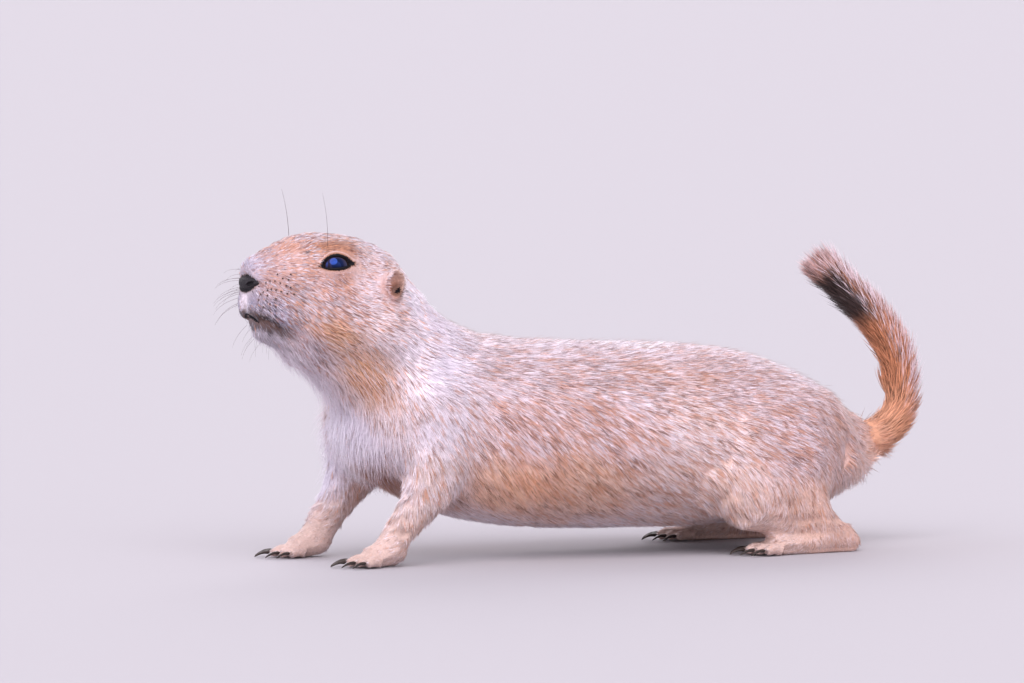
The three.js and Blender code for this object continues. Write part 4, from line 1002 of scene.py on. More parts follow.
def fur_material(name, grain, speckle, bump, sheen=0.25, roughness=0.62):
    """Hair in the painted colour, broken up by fine noise, with a bump of short fibres."""
    material = bpy.data.materials.new(name)
    material.use_nodes = True
    tree = material.node_tree
    shader = tree.nodes["Principled BSDF"]
    shader.inputs["Roughness"].default_value = roughness
    shader.inputs["Specular IOR Level"].default_value = 0.3
    shader.inputs["Sheen Weight"].default_value = sheen
    shader.inputs["Sheen Roughness"].default_value = 0.45
    coat = node(tree, "ShaderNodeAttribute", attribute_name="coat")
    place = node(tree, "ShaderNodeTexCoord")
    noise = node(tree, "ShaderNodeTexNoise", Scale=grain, Detail=3.0, Roughness=0.6)
    link(tree, place.outputs["Object"], noise.inputs["Vector"])
    light = node(tree, "ShaderNodeMapRange")
    light.inputs["To Min"].default_value = 1 - speckle
    light.inputs["To Max"].default_value = 1 + speckle
    link(tree, noise.outputs["Fac"], light.inputs["Value"])
    tint = node(tree, "ShaderNodeVectorMath", operation="SCALE")
    link(tree, coat.outputs["Color"], tint.inputs[0])
    link(tree, light.outputs["Result"], tint.inputs["Scale"])
    link(tree, tint.outputs["Vector"], shader.inputs["Base Color"])
    if bump:
        fibres = node(tree, "ShaderNodeTexNoise", Scale=grain * 1.7, Detail=2.0)
        link(tree, place.outputs["Object"], fibres.inputs["Vector"])
        relief = node(tree, "ShaderNodeBump", Strength=bump, Distance=0.0004)
        link(tree, fibres.outputs["Fac"], relief.inputs["Height"])
        link(tree, relief.outputs["Normal"], shader.inputs["Normal"])
    return material


SKIN_FUR = fur_material("short_fur", 900, 0.35, 0.8, 0.12)
COAT_FUR = fur_material("coat_hair", 500, 0.22, 0)
skin_mesh.materials.append(SKIN_FUR)

# %% [markdown]
# ## Where the tufts grow
# Roots are drawn on the skin's triangles, more of them where the map says the coat is fine, as on the
# face, and none on the eyes, the nose pad, the line of the mouth or the soles. Each takes the skin's
# normal there and its place on the flat map.

# %% Roots on the skin
def triangles_of(mesh):
    """The vertices and the loops of each triangle."""
    mesh.calc_loop_triangles()
    corners = np.empty(len(mesh.loop_triangles) * 3, np.int32)
    loops = np.empty(len(mesh.loop_triangles) * 3, np.int32)
    mesh.loop_triangles.foreach_get("vertices", corners)
    mesh.loop_triangles.foreach_get("loops", loops)
    return corners.reshape(-1, 3), loops.reshape(-1, 3)


def bareness(points):
    """1 where no hair grows."""
    head = both_sides(on_head(points))
    pad = np.linalg.norm((head - NOSE_AT) / NOSE_RADII, axis=1)
    bare = smooth((1.06 - pad) / 0.06) * (head[:, 0] > 52)
    mouth, along_mouth = away_from_line(head, MOUTH_LINE)
    bare = np.maximum(bare, mouth < 1.5 - 0.8 * along_mouth)
    cleft, _ = away_from_line(head, GROOVE)
    bare = np.maximum(bare, cleft < 0.35)
    bare = np.maximum(bare, np.linalg.norm(head - EAR_HOLE, axis=1) < 1.3)
    for side in (1, -1):
        inside, *_ = slit_depth(points, side)
        bare = np.maximum(bare, inside > -0.6)
    return bare


tris, tri_loops = triangles_of(skin_mesh)
corner = co[tris]
area = np.linalg.norm(np.cross(corner[:, 1] - corner[:, 0], corner[:, 2] - corner[:, 0]), axis=1) / 2 / MM**2
hair_density = skin_table[:, COLUMNS["density"]] * (1 - bareness(co))
hair_density *= 1 - smooth((0.8 - co[:, 2] / MM) / 0.5)
on_brush = smooth((tail_share - 0.14) / 0.1) * (tail_away < 12)
hair_density *= 1 - on_brush
demand = area * hair_density[tris].mean(1)
COAT_TUFTS = 246000
THINNED = 1.0


def draw_roots(wanted, count):
    """Roots spread over the triangles as wanted: places, the skin's normals there, places on the map."""
    ladder = np.cumsum(wanted) / wanted.sum()
    picked = np.searchsorted(ladder, (np.arange(count) + RNG.uniform(0, 1, count)) / count)
    picked = np.minimum(picked, len(tris) - 1)
    s, t = RNG.uniform(0, 1, (2, count))
    flip = s + t > 1
    s[flip], t[flip] = 1 - s[flip], 1 - t[flip]
    shares = np.stack([1 - s - t, s, t], 1)[:, :, None]
    places = (corner[picked] * shares).sum(1)
    ways = unit((skin_normals[tris[picked]] * shares).sum(1))
    return places, ways, (uv[tri_loops[picked]] * shares).sum(1)


count = int(min(demand.sum(), COAT_TUFTS) * THINNED)
roots, root_normals, root_map = draw_roots(demand, count)
print("skin area, square mm:", int(area.sum()), " wanted tufts:", int(demand.sum()), " drawn:", count)

# %% [markdown]
# ## One tuft, many times
# A tuft is a few hairs that cling together: a thin three-sided spike, rooted under the skin and closed at
# both ends. Hundreds of thousands of them are cheap as arrays of points that become one joined mesh. Each
# tuft leaves the skin at the lift of its place. On the face it also bends over to lie along the body; on
# the trunk, where tufts are seen by the thousand, it is one straight spike. Hair lets light through, so a
# tuft is shaded mostly as the skin below it is, and only a little by its own round sides.

# %% A joined mesh of tufts
SIDE_SHADE = 0.35  # how much of its own roundness a tuft shows against the body's
FLOOR_GAP = 0.1 * MM
PATCH_HALF = 0.0014  # half the size of a tuft's patch on the map


def tuft_points(root, normal, lie, length, width, lift, bend, levels):
    """Rings of three points along each tuft, then its tip, in metres, and how its back and underside face."""
    side = unit(np.cross(lie, normal))
    place = root - normal * (0.25 * MM)
    step = length[:, None] / levels
    rings = []
    back = []
    under = []
    for k in range(levels):
        angle = lift * (1 - k / max(levels - 1, 1)) + bend * (k / max(levels - 1, 1))
        way = lie * np.cos(angle)[:, None] + normal * np.sin(angle)[:, None]
        over = np.cross(side, way)
        half = 0.5 * width * (1.0, 0.86, 0.6, 0.42)[k]
        ring = [
            place + over * (half * 0.7)[:, None],
            place - side * half[:, None] - over * (half * 0.35)[:, None],
            place + side * half[:, None] - over * (half * 0.35)[:, None],
        ]
        rings += ring
        outward = (over, -side - 0.35 * over, side - 0.35 * over)
        back += [unit(normal + SIDE_SHADE * turned) for turned in outward]
        under += [-over] * 3
        place = place + way * step
    points = np.stack(rings + [place], 1)
    points[..., 2] = np.maximum(points[..., 2], FLOOR_GAP)
    return points, np.stack(back + [normal], 1), np.stack(under + [-over], 1)


def tuft_mesh(name, points, back, under, levels, tones, spots):
    """One mesh from (tufts, 3 * levels + 1) points, with a colour for each ring and a patch of the map."""
    count, per = points.shape[:2]
    faces = [(0, 1, 2)]
    for k in range(levels - 1):
        for j in range(3):
            a, b = 3 * k + j, 3 * k + (j + 1) % 3
            faces.append((a, a + 3, b + 3, b))
    last = 3 * (levels - 1)
    faces += [(last + j, last + 3, last + (j + 1) % 3) for j in range(3)]
    flat = np.array([v for face in faces for v in face])
    sizes = np.array([len(face) for face in faces])
    starts = np.concatenate([[0], np.cumsum(sizes)[:-1]])
    mesh = bpy.data.meshes.new(name)
    mesh.vertices.add(count * per)
    mesh.loops.add(count * len(flat))
    mesh.polygons.add(count * len(faces))
    mesh.vertices.foreach_set("co", points.astype(np.float32).ravel())
    tuft = np.arange(count)[:, None]
    mesh.loops.foreach_set("vertex_index", (flat[None] + per * tuft).astype(np.int32).ravel())
    mesh.polygons.foreach_set("loop_start", (starts[None] + len(flat) * tuft).astype(np.int32).ravel())
    mesh.update(calc_edges=True)
    mesh.shade_smooth()
    below = np.repeat([0 not in {k % 3 for k in face if k < 3 * levels} for face in faces], sizes)
    ways = np.where(below[None, :, None], under[:, flat], back[:, flat])
    mesh.normals_split_custom_set(ways.reshape(-1, 3))
    level_of = np.concatenate([np.repeat(np.arange(levels), 3), [levels]])
    paint = mesh.color_attributes.new("coat", "FLOAT_COLOR", "POINT")
    rgba = np.ones((count, per, 4), np.float32)
    rgba[:, :, :3] = tones[:, level_of]
    paint.data.foreach_set("color", rgba.ravel())
    across = np.concatenate([np.tile([0.0, -1.0, 1.0], levels), [0.0]])
    patch = np.stack([across, 2 * level_of / levels - 1.0], 1) * PATCH_HALF
    map_points = np.clip(spots[:, None] + patch[None], 0, 1)
    layer = mesh.uv_layers.new(name="OFBake")
    layer.data.foreach_set("uv", map_points[:, flat].astype(np.float32).ravel())
    return mesh


# %% [markdown]
# ## The coat of the head, body and legs
# Hair is never combed evenly. The lie is turned a little by waves that change over a few millimetres, so
# that neighbours lean together into small locks, and then by chance for each tuft. Most tufts are paler
# at the tip than at the root; the flecked ones are cinnamon or brown.

# %% Lie, length and colour of each tuft
line_share = np.linspace(0, 1, len(tail_line))
tail_along = unit(np.gradient(tail_line, axis=0))


def on_tail(values, at):
    """Values given along the tail, at shares of the way."""
    return np.stack([np.interp(at, line_share, values[:, k]) for k in range(3)], 1)


table = coat_at(roots)
mm = roots / MM
root_away, root_share = near_tail(roots)
at_tail = (smooth((15 - root_away) / 5) * (root_share < 0.45))[:, None]
lie = unit(table[:, COLUMNS["lie"]]) * (1 - at_tail) + on_tail(tail_along, root_share) * at_tail
lie = unit(lie - root_normals * (lie * root_normals).sum(1, keepdims=True))
across = np.cross(root_normals, lie)
fine_here = fineness(roots)
combed = lie
swing = 0.07 * waves(mm, 21, 6) + 0.05 * waves(mm, 22, 3) + RNG.normal(0, 0.12, count)
swing *= 1 - 0.4 * fine_here
lie = unit(lie * np.cos(swing)[:, None] + across * np.sin(swing)[:, None])
length = table[:, COLUMNS["length"]] * (1 + 0.12 * waves(mm, 23, 4)) * RNG.uniform(0.75, 1.2, count)
width = table[:, COLUMNS["width"]] * RNG.uniform(0.75, 1.25, count)
lift = table[:, COLUMNS["lift"]] * (0.9 + 0.08 * waves(mm, 24, 3) + RNG.normal(0, 0.18, count))
lift = np.radians(np.maximum(lift, 5))


def from_slit(points, side):
    """Distance in mm from the rim of an eye."""
    middle, axes = eye_frame(side)
    a = np.linspace(-1, 1, 24)
    lids = ((SLIT_TOP, 0.25), (SLIT_BOTTOM, 0.0))
    rim = [(SLIT_HALF * k, slit_edge(k, peak, skew)) for peak, skew in lids for k in a]
    rim = np.array([(x, y, math.sqrt(max(1, (EYE_RADIUS + 0.6) ** 2 - x * x - y * y))) for x, y in rim])
    spots = middle + rim @ axes
    near_eye = np.linalg.norm(points / MM - middle, axis=1) < 16
    away = np.full(len(points), 99.0)
    p = points[near_eye] / MM
    away[near_eye] = np.sqrt(((p[:, None] - spots[None]) ** 2).sum(2)).min(1)
    return away


on_face = both_sides(on_head(roots))
from_lips, _ = away_from_line(on_face, MOUTH_LINE)
length = np.minimum(length, np.maximum(0.8, 0.65 * from_lips))
from_eye = np.minimum(from_slit(roots, 1), from_slit(roots, -1))
length = np.minimum(length, np.maximum(0.7, 0.8 * from_eye))
width = np.where(from_eye < 3, np.minimum(width, 0.24), width)
in_ear = np.exp(-(((on_face - (3, 23.5, 9)) / (5, 4, 7)) ** 2).sum(1))
length = length * (1 - 0.45 * in_ear)

scatter = RNG.normal(0, 1, (count, 3)) * (0.13 * length * MM)[:, None]
base = marked_colour(roots + scatter, table)


def in_streaks(points, ways, fine, share):
    """A random number for each tuft; tufts on one short line along the lie have it in common."""
    tree = kdtree.KDTree(len(points))
    for k, point in enumerate(points):
        tree.insert(point, k)
    tree.balance()
    number = RNG.uniform(0, 1, len(points))
    for k in RNG.choice(len(points), int(share * len(points)), replace=False):
        half_long = (1.7 - 0.6 * fine[k]) * MM
        half_wide = (0.23 - 0.01 * fine[k]) * MM
        found = np.array([index for _, index, _ in tree.find_range(points[k], half_long)])
        away = points[found] - points[k]
        ahead = away @ ways[k]
        aside = (away**2).sum(1) - ahead**2
        number[found[(ahead / half_long) ** 2 + aside / half_wide**2 < 1]] = number[k]
    return number


face = fine_here * (roots[:, 2] > 60 * MM)
fleck = table[:, COLUMNS["flecks"]] * smooth((base @ (0.3, 0.6, 0.1) - 0.04) / 0.14)
for spot, radii, _, _ in LEFT_MARKS.values():
    fleck = fleck * (1 - np.exp(-(((mm - spot) / radii) ** 2).sum(1) ** 1.8))
luck = in_streaks(roots, combed, fine_here, 0.25)
hollow = np.exp(-(((on_face - (3.6, 23.5, 9)) / (5, 4, 7)) ** 2).sum(1))
fleck = fleck * (1 - hollow)
dark_share = fleck * (0.26 + 0.08 * face)
dark = luck < dark_share
warm = (luck >= dark_share) & (luck < dark_share + (0.48 - 0.14 * face) * fleck)
bright = (base @ (0.3, 0.6, 0.1)) > 0.2
plain = smooth((base[:, 2] / base[:, 0] - 0.45) / 0.3)
pale = (luck > 0.68) * bright * (1 - 0.8 * hollow) * (1 - at_tail[:, 0]) * (0.35 + 0.65 * plain)
warm_tone = towards(np.tile(COLOURS["cinnamon"], (count, 1)), COLOURS["orange"], RNG.uniform(0, 0.7, count))
dark_tone = np.array(mix("umber", "russet", 0.4)) * RNG.uniform(0.5, 1.1, (count, 1))
uneven = 0.18 + 0.10 * face
shade = (1 + uneven * RNG.uniform(-1, 1, count))[:, None, None]
speckled = np.exp(-(((on_face - (52.5, 8.0, -6.5)) / (5, 4.5, 4.5)) ** 2).sum(1))
speck = RNG.uniform(0, 1, count)
dark = dark | (speck < 0.45 * speckled)
white = speck > 1 - 0.4 * speckled
dark_tone = np.where((speckled > 0.2)[:, None], np.array(COLOURS["black"]) * 0.8, dark_tone)
tip_tone = towards(base * 1.08, COLOURS["cream"], 0.25 * fleck)
mid_tone = towards(base, warm_tone, 0.20 * fleck)
root_tone = towards(base * 0.84, warm_tone * 0.9, 0.6 * fleck)
mid_tone = towards(mid_tone, warm_tone, 0.75 * warm)
tip_tone = towards(tip_tone, warm_tone, 0.75 * warm)
mid_tone = towards(mid_tone, dark_tone, 0.7 * dark)
tip_tone = towards(tip_tone, dark_tone, 0.85 * dark)
pale_tone = np.array(COLOURS["white"]) * (1.15 - 0.15 * face[:, None])
mid_tone = towards(mid_tone, pale_tone, 0.4 * pale + 0.3 * white)
tip_tone = towards(tip_tone, pale_tone, 0.65 * pale + 0.3 * white)
tones = np.clip(np.stack([root_tone, mid_tone, tip_tone], 1) * shade, *TONE_RANGE)
short_tones = np.clip(np.stack([0.3 * root_tone + 0.7 * mid_tone, tip_tone], 1) * shade, *TONE_RANGE)
print("tuft length, mm:", round(float(length.min()), 2), "to", round(float(length.max()), 2))

# %% Coat pieces by region
def regions(points):
    """The name of the coat piece that each root belongs to."""
    p = points / MM
    head = on_head(points)
    left = p[:, 1] < 0
    side = np.where(left, "left", "right").astype(object)
    name = np.where(p[:, 0] < -48, "shoulder_", np.where(p[:, 0] < 22, "flank_", "haunch_"))
    name = name.astype(object) + side
    back = (p[:, 2] > 74) & (p[:, 0] > -48)
    name = np.where(back, "back", name)
    name = np.where((p[:, 2] < 24) & (np.abs(p[:, 1]) < 24), "belly", name)
    feet = (p[:, 2] < 15) & (np.abs(p[:, 1]) > 16)
    name = np.where(feet, np.where(p[:, 0] < 0, "forefeet", "hindfeet"), name)
    neck = (head[:, 0] < -14) & (head[:, 0] > -40) & (p[:, 2] > 66) | (p[:, 0] < -92) & (p[:, 2] > 50)
    name = np.where(neck, "neck", name)
    face = (head[:, 2] > -30) & (head[:, 0] > -14)
    name = np.where(face & (head[:, 0] <= 20), np.where(head[:, 1] > 0, "cheek_left", "cheek_right"), name)
    name = np.where(face & (head[:, 0] > 20), np.where(head[:, 1] > 0, "face_left", "face_right"), name)
    return name


region = regions(roots)
for kind in sorted(set(region)):
    here = region == kind
    levels = 2 if kind.startswith(("face", "cheek")) else 1
    shape = tuft_points(
        roots[here], root_normals[here], lie[here], length[here] * MM, width[here] * MM,
        lift[here], np.radians(np.full(here.sum(), 3.0)), levels,
    )
    painted = (tones if levels == 2 else short_tones)[here]
    piece = show(f"coat_{kind}", tuft_mesh(f"coat_{kind}", *shape, levels, painted, root_map[here]))
    piece.data.materials.append(COAT_FUR)
    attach(piece, "root")
    print(piece.name, int(here.sum()), "tufts,", (6 * levels - 2) * int(here.sum()), "triangles")


# %% [markdown]
# ## The brush of the tail
# The tail's hair is three times as long as the body's and stands out all round a thin core, most of all
# on the outer side. Roots are drawn on the skin round the core, more of them towards the tip, and each
# tuft follows the tail and leans out, with three bends instead of one.

# %% Tail tufts
TAIL_TUFTS = int(12000 * THINNED)
crowding = 0.6 + 2.2 * smooth((tail_share - 0.25) / 0.5) + 4 * smooth((tail_share - 0.87) / 0.08)
brush_demand = area * (on_brush * crowding)[tris].mean(1)
tail_roots, out, tail_map = draw_roots(brush_demand, TAIL_TUFTS)
_, share = near_tail(tail_roots)
along = unit(on_tail(tail_along, share))
out = unit(out - along * (out * along).sum(1, keepdims=True))
sidewards = np.tile(np.array([0.0, 1.0, 0.0]), (TAIL_TUFTS, 1))
outerness = (out * unit(np.cross(sidewards, along))).sum(1)
outer_side = smooth((outerness + 0.5) / 0.8)
frosted = RNG.choice([0.0, 0.25, 1.0], TAIL_TUFTS, p=[0.45, 0.2, 0.35])
tail_length = np.interp(share, [0.14, 0.25, 0.4, 0.8, 0.98], [6.5, 9, 12.5, 13.5, 16.5])
tail_length *= RNG.uniform(0.7, 1.15, TAIL_TUFTS)
tail_lift = np.interp(share, [0.14, 0.25, 0.5, 0.85, 0.98], [6, 14, 21, 20, 15])
tail_lift = tail_lift + RNG.normal(0, 5, TAIL_TUFTS)
tail_lift = tail_lift + 9 * (frosted == 1) * smooth((outerness - 0.2) / 0.5) * smooth((share - 0.2) / 0.1)
swing = 0.10 * waves(tail_roots / MM, 31, 4) + RNG.normal(0, 0.10, TAIL_TUFTS)
tail_lie = unit(along * np.cos(swing)[:, None] + np.cross(out, along) * np.sin(swing)[:, None])
tail_width = 0.46 * RNG.uniform(0.7, 1.3, TAIL_TUFTS)
shape = tuft_points(
    tail_roots, out, tail_lie, tail_length * MM, tail_width * MM,
    np.radians(tail_lift + 12), np.radians(tail_lift - 10), 3,
)
tail_run = np.linalg.norm(np.diff(tail_line, axis=0), axis=1).sum()
steps = [
    tail_colour(share + k / 3 * tail_length / tail_run, outer_side, np.full(TAIL_TUFTS, k / 3), frosted)
    for k in range(4)
]
shade = RNG.choice([0.4, 0.8, 1.0, 1.2], (TAIL_TUFTS, 1, 1), p=[0.25, 0.3, 0.25, 0.2])
shade = np.where((share < 0.3)[:, None, None], np.maximum(shade, 0.8), shade)
shade = np.where(((frosted == 1) & (outer_side > 0.6))[:, None, None], 1.1, shade)
along_tuft = np.array([0.7, 0.9, 1.0, 1.05])[None, :, None]
tail_tones = np.clip(np.stack(steps, 1) * shade * along_tuft, *TONE_RANGE)
brush = show("coat_tail", tuft_mesh("coat_tail", *shape, 3, tail_tones, tail_map))
brush.data.materials.append(COAT_FUR)
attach(brush, "root")
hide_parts("tail")
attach(skin, "root")
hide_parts(*FLESH)
print("tail:", TAIL_TUFTS, "tufts,", 16 * TAIL_TUFTS, "triangles")

# %% [markdown]
# ## Long single hairs
# Along the chin, throat and chest fine white hairs stand out beyond the coat, and on the back a few
# darker ones do. They are what makes the outline soft.

# %% Guard hairs
GUARD_HAIRS = int(7000 * THINNED)
x, y, z = co.T / MM
head = on_head(co)
front = smooth((-86 - x) / 10) * smooth((z - 30) / 10)
front = front * smooth((-8 - head[:, 2]) / 8) * smooth((58 - head[:, 0]) / 5)
top = 0.6 * smooth((skin_normals[:, 2] - 0.3) / 0.4) * smooth((x + 75) / 15)
rest = 0.05 * (z > 25) * (x > -75)
wanted = np.maximum(np.maximum(front, top), rest) * (1 - bareness(co)) * (1 - on_brush)
guard_roots, guard_normals, guard_map = draw_roots(area * wanted[tris].mean(1), GUARD_HAIRS)
guard_table = coat_at(guard_roots)
guard_lie = guard_table[:, COLUMNS["lie"]]
guard_lie = unit(guard_lie - guard_normals * (guard_lie * guard_normals).sum(1, keepdims=True))
swing = RNG.normal(0, 0.22, GUARD_HAIRS)
guard_across = np.cross(guard_normals, guard_lie)
guard_lie = unit(guard_lie * np.cos(swing)[:, None] + guard_across * np.sin(swing)[:, None])
is_front = smooth((-86 - guard_roots[:, 0] / MM) / 10)
guard_length = guard_table[:, COLUMNS["length"]] * RNG.uniform(1.1, 1.6, GUARD_HAIRS)
guard_length = guard_length * (1.0 + 0.25 * is_front)
guard_lift = np.radians(17 + 19 * is_front + RNG.normal(0, 6, GUARD_HAIRS))
shape = tuft_points(
    guard_roots, guard_normals, guard_lie, guard_length * MM, (0.27 - 0.07 * is_front) * MM,
    guard_lift, 0.5 * guard_lift, 3,
)
guard_base = marked_colour(guard_roots, guard_table)
tip = np.where((is_front > 0.5)[:, None], COLOURS["white"], 0.6 * np.array(COLOURS["umber"]))
tip = tip * RNG.uniform(0.7, 1.15, (GUARD_HAIRS, 1))
guard_tones = np.stack([towards(guard_base, tip, k) for k in (0, 0.3, 0.7, 0.9)], 1)
guard_tones = np.clip(guard_tones, *TONE_RANGE)
guard = show("coat_guard", tuft_mesh("coat_guard", *shape, 3, guard_tones, guard_map))
guard.data.materials.append(COAT_FUR)
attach(guard, "root")
print("guard hairs:", GUARD_HAIRS)

# %% [markdown]
# ## Eyes
# A prairie dog's eye is nearly all dark iris, wet and strongly curved, with a black rim of bare lid. The
# ball is turned to its gaze and gets the bulge of the cornea. Its near-black colour is painted from the
# middle out. Its reflections are tinted blue and its upper half is made glossier than the lower: a painted
# reflection of a blue sky over the upper half. The rim is a tube along the slit.

# %% Eyeballs
def eye_material():
    """A wet ball whose colour and gloss are painted on; the blue tint and the glossier upper half paint a
    sky's reflection.
    """
    material = bpy.data.materials.new("wet_eye")
    material.use_nodes = True
    tree = material.node_tree
    shader = tree.nodes["Principled BSDF"]
    shader.inputs["Roughness"].default_value = 0.03
    shader.inputs["IOR"].default_value = 1.62
    # Painted reflection: every reflection in the eye is tinted blue, for a blue sky.
    shader.inputs["Specular Tint"].default_value = (0.09, 0.22, 1.0, 1)
    gloss = node(tree, "ShaderNodeAttribute", attribute_name="gloss")
    link(tree, gloss.outputs["Fac"], shader.inputs["Specular IOR Level"])
    tone = node(tree, "ShaderNodeAttribute", attribute_name="tone")
    place = node(tree, "ShaderNodeTexCoord")
    streaks = node(tree, "ShaderNodeTexNoise", Scale=900.0, Detail=2.0)
    link(tree, place.outputs["Object"], streaks.inputs["Vector"])
    light = node(tree, "ShaderNodeMapRange")
    light.inputs["To Min"].default_value = 0.6
    light.inputs["To Max"].default_value = 1.4
    link(tree, streaks.outputs["Fac"], light.inputs["Value"])
    tint = node(tree, "ShaderNodeVectorMath", operation="SCALE")
    link(tree, tone.outputs["Color"], tint.inputs[0])
    link(tree, light.outputs["Result"], tint.inputs["Scale"])
    link(tree, tint.outputs["Vector"], shader.inputs["Base Color"])
    return material


WET_EYE = eye_material()
LID_SKIN = plain_material("lid_skin", (0.006, 0.005, 0.007), 0.6)
LID_SKIN.node_tree.nodes["Principled BSDF"].inputs["Specular IOR Level"].default_value = 0.15
PUPIL, IRIS, WHITE_EDGE = (0.004, 0.004, 0.006), (0.022, 0.013, 0.010), (0.010, 0.008, 0.009)

for side, name in ((1, "left"), (-1, "right")):
    middle, axes = eye_frame(side)
    form = bmesh.new()
    bmesh.ops.create_uvsphere(form, u_segments=56, v_segments=36, radius=EYE_RADIUS * MM)
    for v in form.verts:
        ahead_share = v.co.z / (EYE_RADIUS * MM)
        v.co *= 1 + 0.045 * float(smooth((ahead_share - 0.55) / 0.45))
    turn_to = Matrix(axes.T.tolist()).to_4x4()
    if turn_to.determinant() < 0:
        turn_to = turn_to @ Matrix.Diagonal((-1, 1, 1, 1))
    turn_to.translation = Vector(middle * MM)
    bmesh.ops.transform(form, matrix=turn_to, verts=form.verts)
    bmesh.ops.recalc_face_normals(form, faces=form.faces)
    mesh = mesh_of(form, f"eyeball_{name}")
    mesh.shade_smooth()
    local = (points_of(mesh) / MM - middle) @ axes.T
    off_axis = np.linalg.norm(local[:, :2], axis=1)
    tone = np.where((off_axis < 2.6)[:, None], PUPIL, np.where((off_axis < 5.4)[:, None], IRIS, WHITE_EDGE))
    paint = mesh.color_attributes.new("tone", "FLOAT_COLOR", "POINT")
    paint.data.foreach_set("color", np.column_stack([tone, np.ones(len(tone))]).astype(np.float32).ravel())
    # Painted reflection: the upper half reflects strongly and the lower half weakly, so that the sky's
    # reflection shows only on the upper half.
    gloss = mesh.attributes.new("gloss", "FLOAT", "POINT")
    gloss.data.foreach_set("value", (0.2 + 0.8 * smooth((local[:, 1] + 1.5) / 2.4)).astype(np.float32))
    mesh.materials.append(WET_EYE)
    ball = show(f"eyeball_{name}", mesh)
    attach(ball, "root")
    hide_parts(f"eye_{name}")

# %% Rims of the lids
RIM_HALF = 0.42
for side, name in ((1, "left"), (-1, "right")):
    middle, axes = eye_frame(side)
    a = np.linspace(1, -1, 26)
    top = [(SLIT_HALF * k, slit_edge(k, SLIT_TOP, 0.25)) for k in a]
    bottom = [(SLIT_HALF * k, slit_edge(k, SLIT_BOTTOM, 0.0)) for k in a[::-1][1:-1]]
    flat = np.array(top + bottom)
    reach = EYE_RADIUS + 0.45
    rim = np.column_stack([flat, np.sqrt(np.maximum(reach**2 - (flat**2).sum(1), 1))])
    line = (middle + rim @ axes) * MM
    form = bmesh.new()
    thick = RIM_HALF * (1 - 0.35 * np.cos(np.linspace(0, 4 * math.pi, len(line)))) * MM
    tube_form(form, line, thick, 8, upright=tuple(axes[2]), loop=True)
    bmesh.ops.recalc_face_normals(form, faces=form.faces)
    mesh = mesh_of(form, f"lid_rim_{name}")
    mesh.shade_smooth()
    mesh.materials.append(LID_SKIN)
    ring = show(f"lid_rim_{name}", mesh)
    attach(ring, "root")
opening = slit_edge(0.1, SLIT_TOP, 0.25) - slit_edge(0.1, SLIT_BOTTOM, 0.0)
print("eye slit, mm:", 2 * SLIT_HALF, "by", round(float(opening), 1))

# %% [markdown]
# ## Nose and claws
# Both are the solids' own shapes, rounded: a merged copy gets a subdivision surface. The nose pad is
# bare, pebbled, slightly moist skin. The claws are dark horn of uneven tone with a dull shine.

# %% Nose pad
def rounded_copy(name, nodes, levels):
    """The named nodes merged and rounded by a subdivision surface, as one piece."""
    piece = show(name, mesh_of(merged_copy(nodes), name))
    finish = piece.modifiers.new("round", "SUBSURF")
    finish.levels = levels
    finish.render_levels = levels
    mesh = baked(piece)
    mesh.name = name
    mesh.shade_smooth()
    return show(name, mesh)


def relief_material(name, colour, roughness, scale, strength, distance, contrast):
    """A skin or horn whose colour varies with a noise and whose height varies with small cells."""
    material = plain_material(name, colour, roughness)
    tree = material.node_tree
    shader = tree.nodes["Principled BSDF"]
    shader.inputs["Specular IOR Level"].default_value = 0.25
    place = node(tree, "ShaderNodeTexCoord")
    cells = node(tree, "ShaderNodeTexVoronoi", Scale=scale)
    link(tree, place.outputs["Object"], cells.inputs["Vector"])
    noise = node(tree, "ShaderNodeTexNoise", Scale=scale * 0.35, Detail=4.0)
    link(tree, place.outputs["Object"], noise.inputs["Vector"])
    ramp = node(tree, "ShaderNodeValToRGB")
    ramp.color_ramp.elements[0].color = (*[c * (1 - contrast) for c in colour], 1)
    ramp.color_ramp.elements[1].color = (*[c * (1 + contrast) for c in colour], 1)
    link(tree, noise.outputs["Fac"], ramp.inputs["Fac"])
    link(tree, ramp.outputs["Color"], shader.inputs["Base Color"])
    relief = node(tree, "ShaderNodeBump", Strength=strength, Distance=distance)
    link(tree, cells.outputs["Distance"], relief.inputs["Height"])
    link(tree, relief.outputs["Normal"], shader.inputs["Normal"])
    return material


NOSE_LIFT = 1.0  # mm, up the front of the muzzle
NOSE_GROWN = 1.06

nose = rounded_copy("nose_pad", ["nose"], 2)
pad = points_of(nose.data)
pad_middle = pad.mean(0)
across, up = (pad - pad_middle) @ LEFT, (pad - pad_middle) @ ABOVE
height = up / np.abs(up).max()
across_more = across * (0.06 + 0.10 * height - 0.22 * np.maximum(-height, 0))
up_more = -0.16 * up * smooth((height - 0.2) / 0.8)
pad = pad + across_more[:, None] * LEFT + up_more[:, None] * ABOVE
put_points(nose.data, pad_middle + NOSE_GROWN * (pad - pad_middle) + NOSE_LIFT * MM * ABOVE)
nose.data.materials.append(relief_material("nose_leather", srgb("211b21"), 0.5, 2600, 0.6, 0.0003, 0.35))
# The bare skin is near black. At the lids, lips and nose it is dark bare skin; in the ear holes and nostrils
# it is painted shade.
bare_faces = bareness(co)[tris].mean(1) > 0.5
skin_mesh.materials.append(relief_material("bare_skin_and_hollow_shade", (0.010, 0.008, 0.011), 0.6, 2600, 0.4, 0.0002, 0.4))
skin_mesh.materials[1].node_tree.nodes["Principled BSDF"].inputs["Specular IOR Level"].default_value = 0.15
skin_mesh.polygons.foreach_set("material_index", bare_faces.astype(np.int32))
print("bare faces of the skin:", int(bare_faces.sum()))
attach(nose, "root")
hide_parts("nose")
print("nose:", len(nose.data.polygons), "faces")

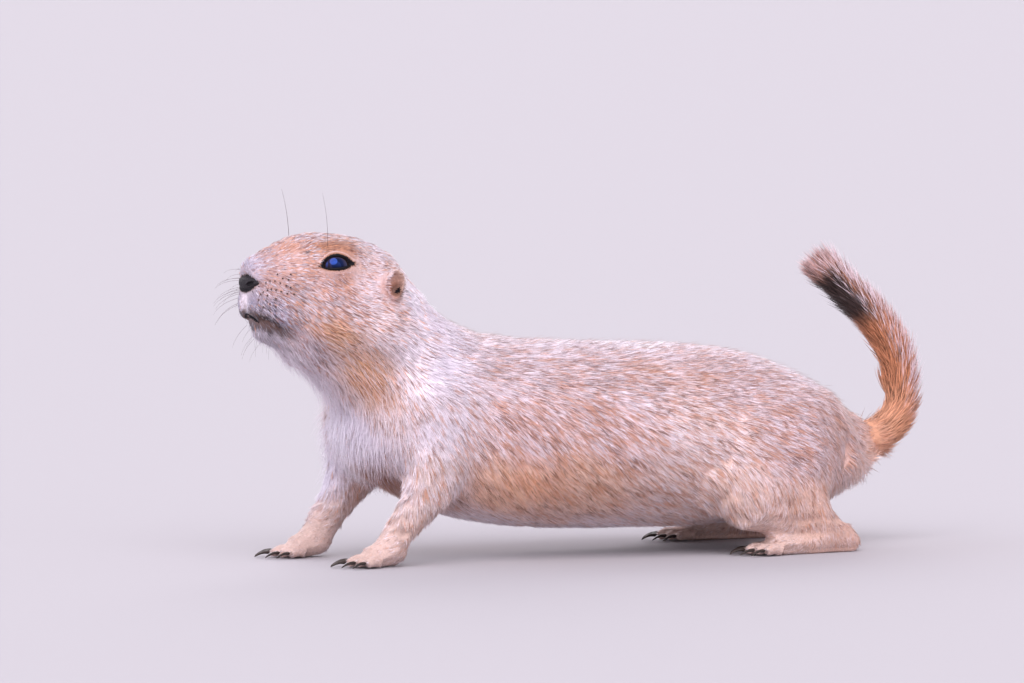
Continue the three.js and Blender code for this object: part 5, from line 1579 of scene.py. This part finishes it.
# %% Claws
CLAWS = [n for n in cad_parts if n.startswith("claw_")]
claws = rounded_copy("claws", CLAWS, 2)
claws.data.materials.append(relief_material("claw_horn", srgb("362c29"), 0.35, 1500, 0.25, 0.0002, 0.4))
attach(claws, "root")
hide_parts(*CLAWS)
print("claws:", len(CLAWS), "in one piece of", len(claws.data.polygons), "faces")

# %% [markdown]
# ## Whiskers
# Whiskers are single stiff hairs, thickest at the root. They fan out from the dots on the muzzle, the
# front ones forward and down, the rear ones outward, and one long hair stands over each eye. Each dot is
# the dark follicle round a whisker's root, a short cone that stands just proud of the fur.

# %% Whisker tubes
def bent_hair(start, way, length, droop, steps=9):
    """A line that leaves in one direction and bends steadily towards another, in mm."""
    spots = [np.array(start, float)]
    for k in range(steps):
        step = unit(unit(way) + np.array(droop) * (k / steps) ** 1.3)
        spots.append(spots[-1] + step * length / steps)
    return np.array(spots)


def curved_hair(start, middle, end, steps=14):
    """A line from start to end, drawn towards the middle place, in mm."""
    t = np.linspace(0, 1, steps)[:, None]
    return (1 - t) ** 2 * np.array(start) + 2 * t * (1 - t) * np.array(middle) + t**2 * np.array(end)


BROW_HAIR = ((31.02, 14.3, 19.6), (32.7, 14.8, 31), (37.8, 15.2, 41.5))
CHIN_HAIRS = ((50, 2.5, -15), (47, 4, -17), (44, 2, -19), (48, 1, -16.5), (51, 5, -14.5), (45, 6, -18))
FOLLICLE = 0.34  # half the width of the dark spot that a whisker grows from, in mm
form = bmesh.new()
hairs = 0
for side in (1, -1):
    for k, (a, l, u) in enumerate(WHISKER_BEDS):
        start = np.array((a, l * side, u))
        front = (a - 44) / 12
        way = unit((0.15 + 0.55 * front, side * (0.95 - 0.25 * front), -0.25 + 0.045 * u))
        spot = np.array([start - 0.6 * way, start + 0.1 * way, start + 0.45 * way])
        tube_form(form, from_head(spot) * MM, np.array((FOLLICLE, FOLLICLE, 0.08)) * MM, 5)
        if k % 4 == 3:
            continue
        long = 13 + 9 * (1 - front) * RNG.uniform(0.7, 1.1)
        line = bent_hair(start, way, long, (-0.7, 0.0, -0.45))
        tube_form(form, from_head(line) * MM, np.linspace(0.08, 0.02, len(line)) * MM, 3)
        hairs += 1
    line = curved_hair(*[(a, l * side, u) for a, l, u in BROW_HAIR])
    tube_form(form, from_head(line) * MM, np.linspace(0.11, 0.03, len(line)) * MM, 4)
    hairs += 1
    for a, l, u in CHIN_HAIRS:
        long = 9 * RNG.uniform(0.7, 1.3)
        line = bent_hair((a, l * side, u), (0.5, 0.35 * side, -0.8), long, (-0.6, 0, -0.3))
        tube_form(form, from_head(line) * MM, np.linspace(0.06, 0.02, len(line)) * MM, 3)
        hairs += 1
bmesh.ops.recalc_face_normals(form, faces=form.faces)
mesh = mesh_of(form, "whiskers")
mesh.shade_smooth()
mesh.materials.append(relief_material("whisker_hair", srgb("574744"), 0.45, 800, 0.1, 0.0001, 0.4))
whiskers = show("whiskers", mesh)
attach(whiskers, "root")
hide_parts("brow_hair_left", "brow_hair_right")
print("whiskers:", hairs)
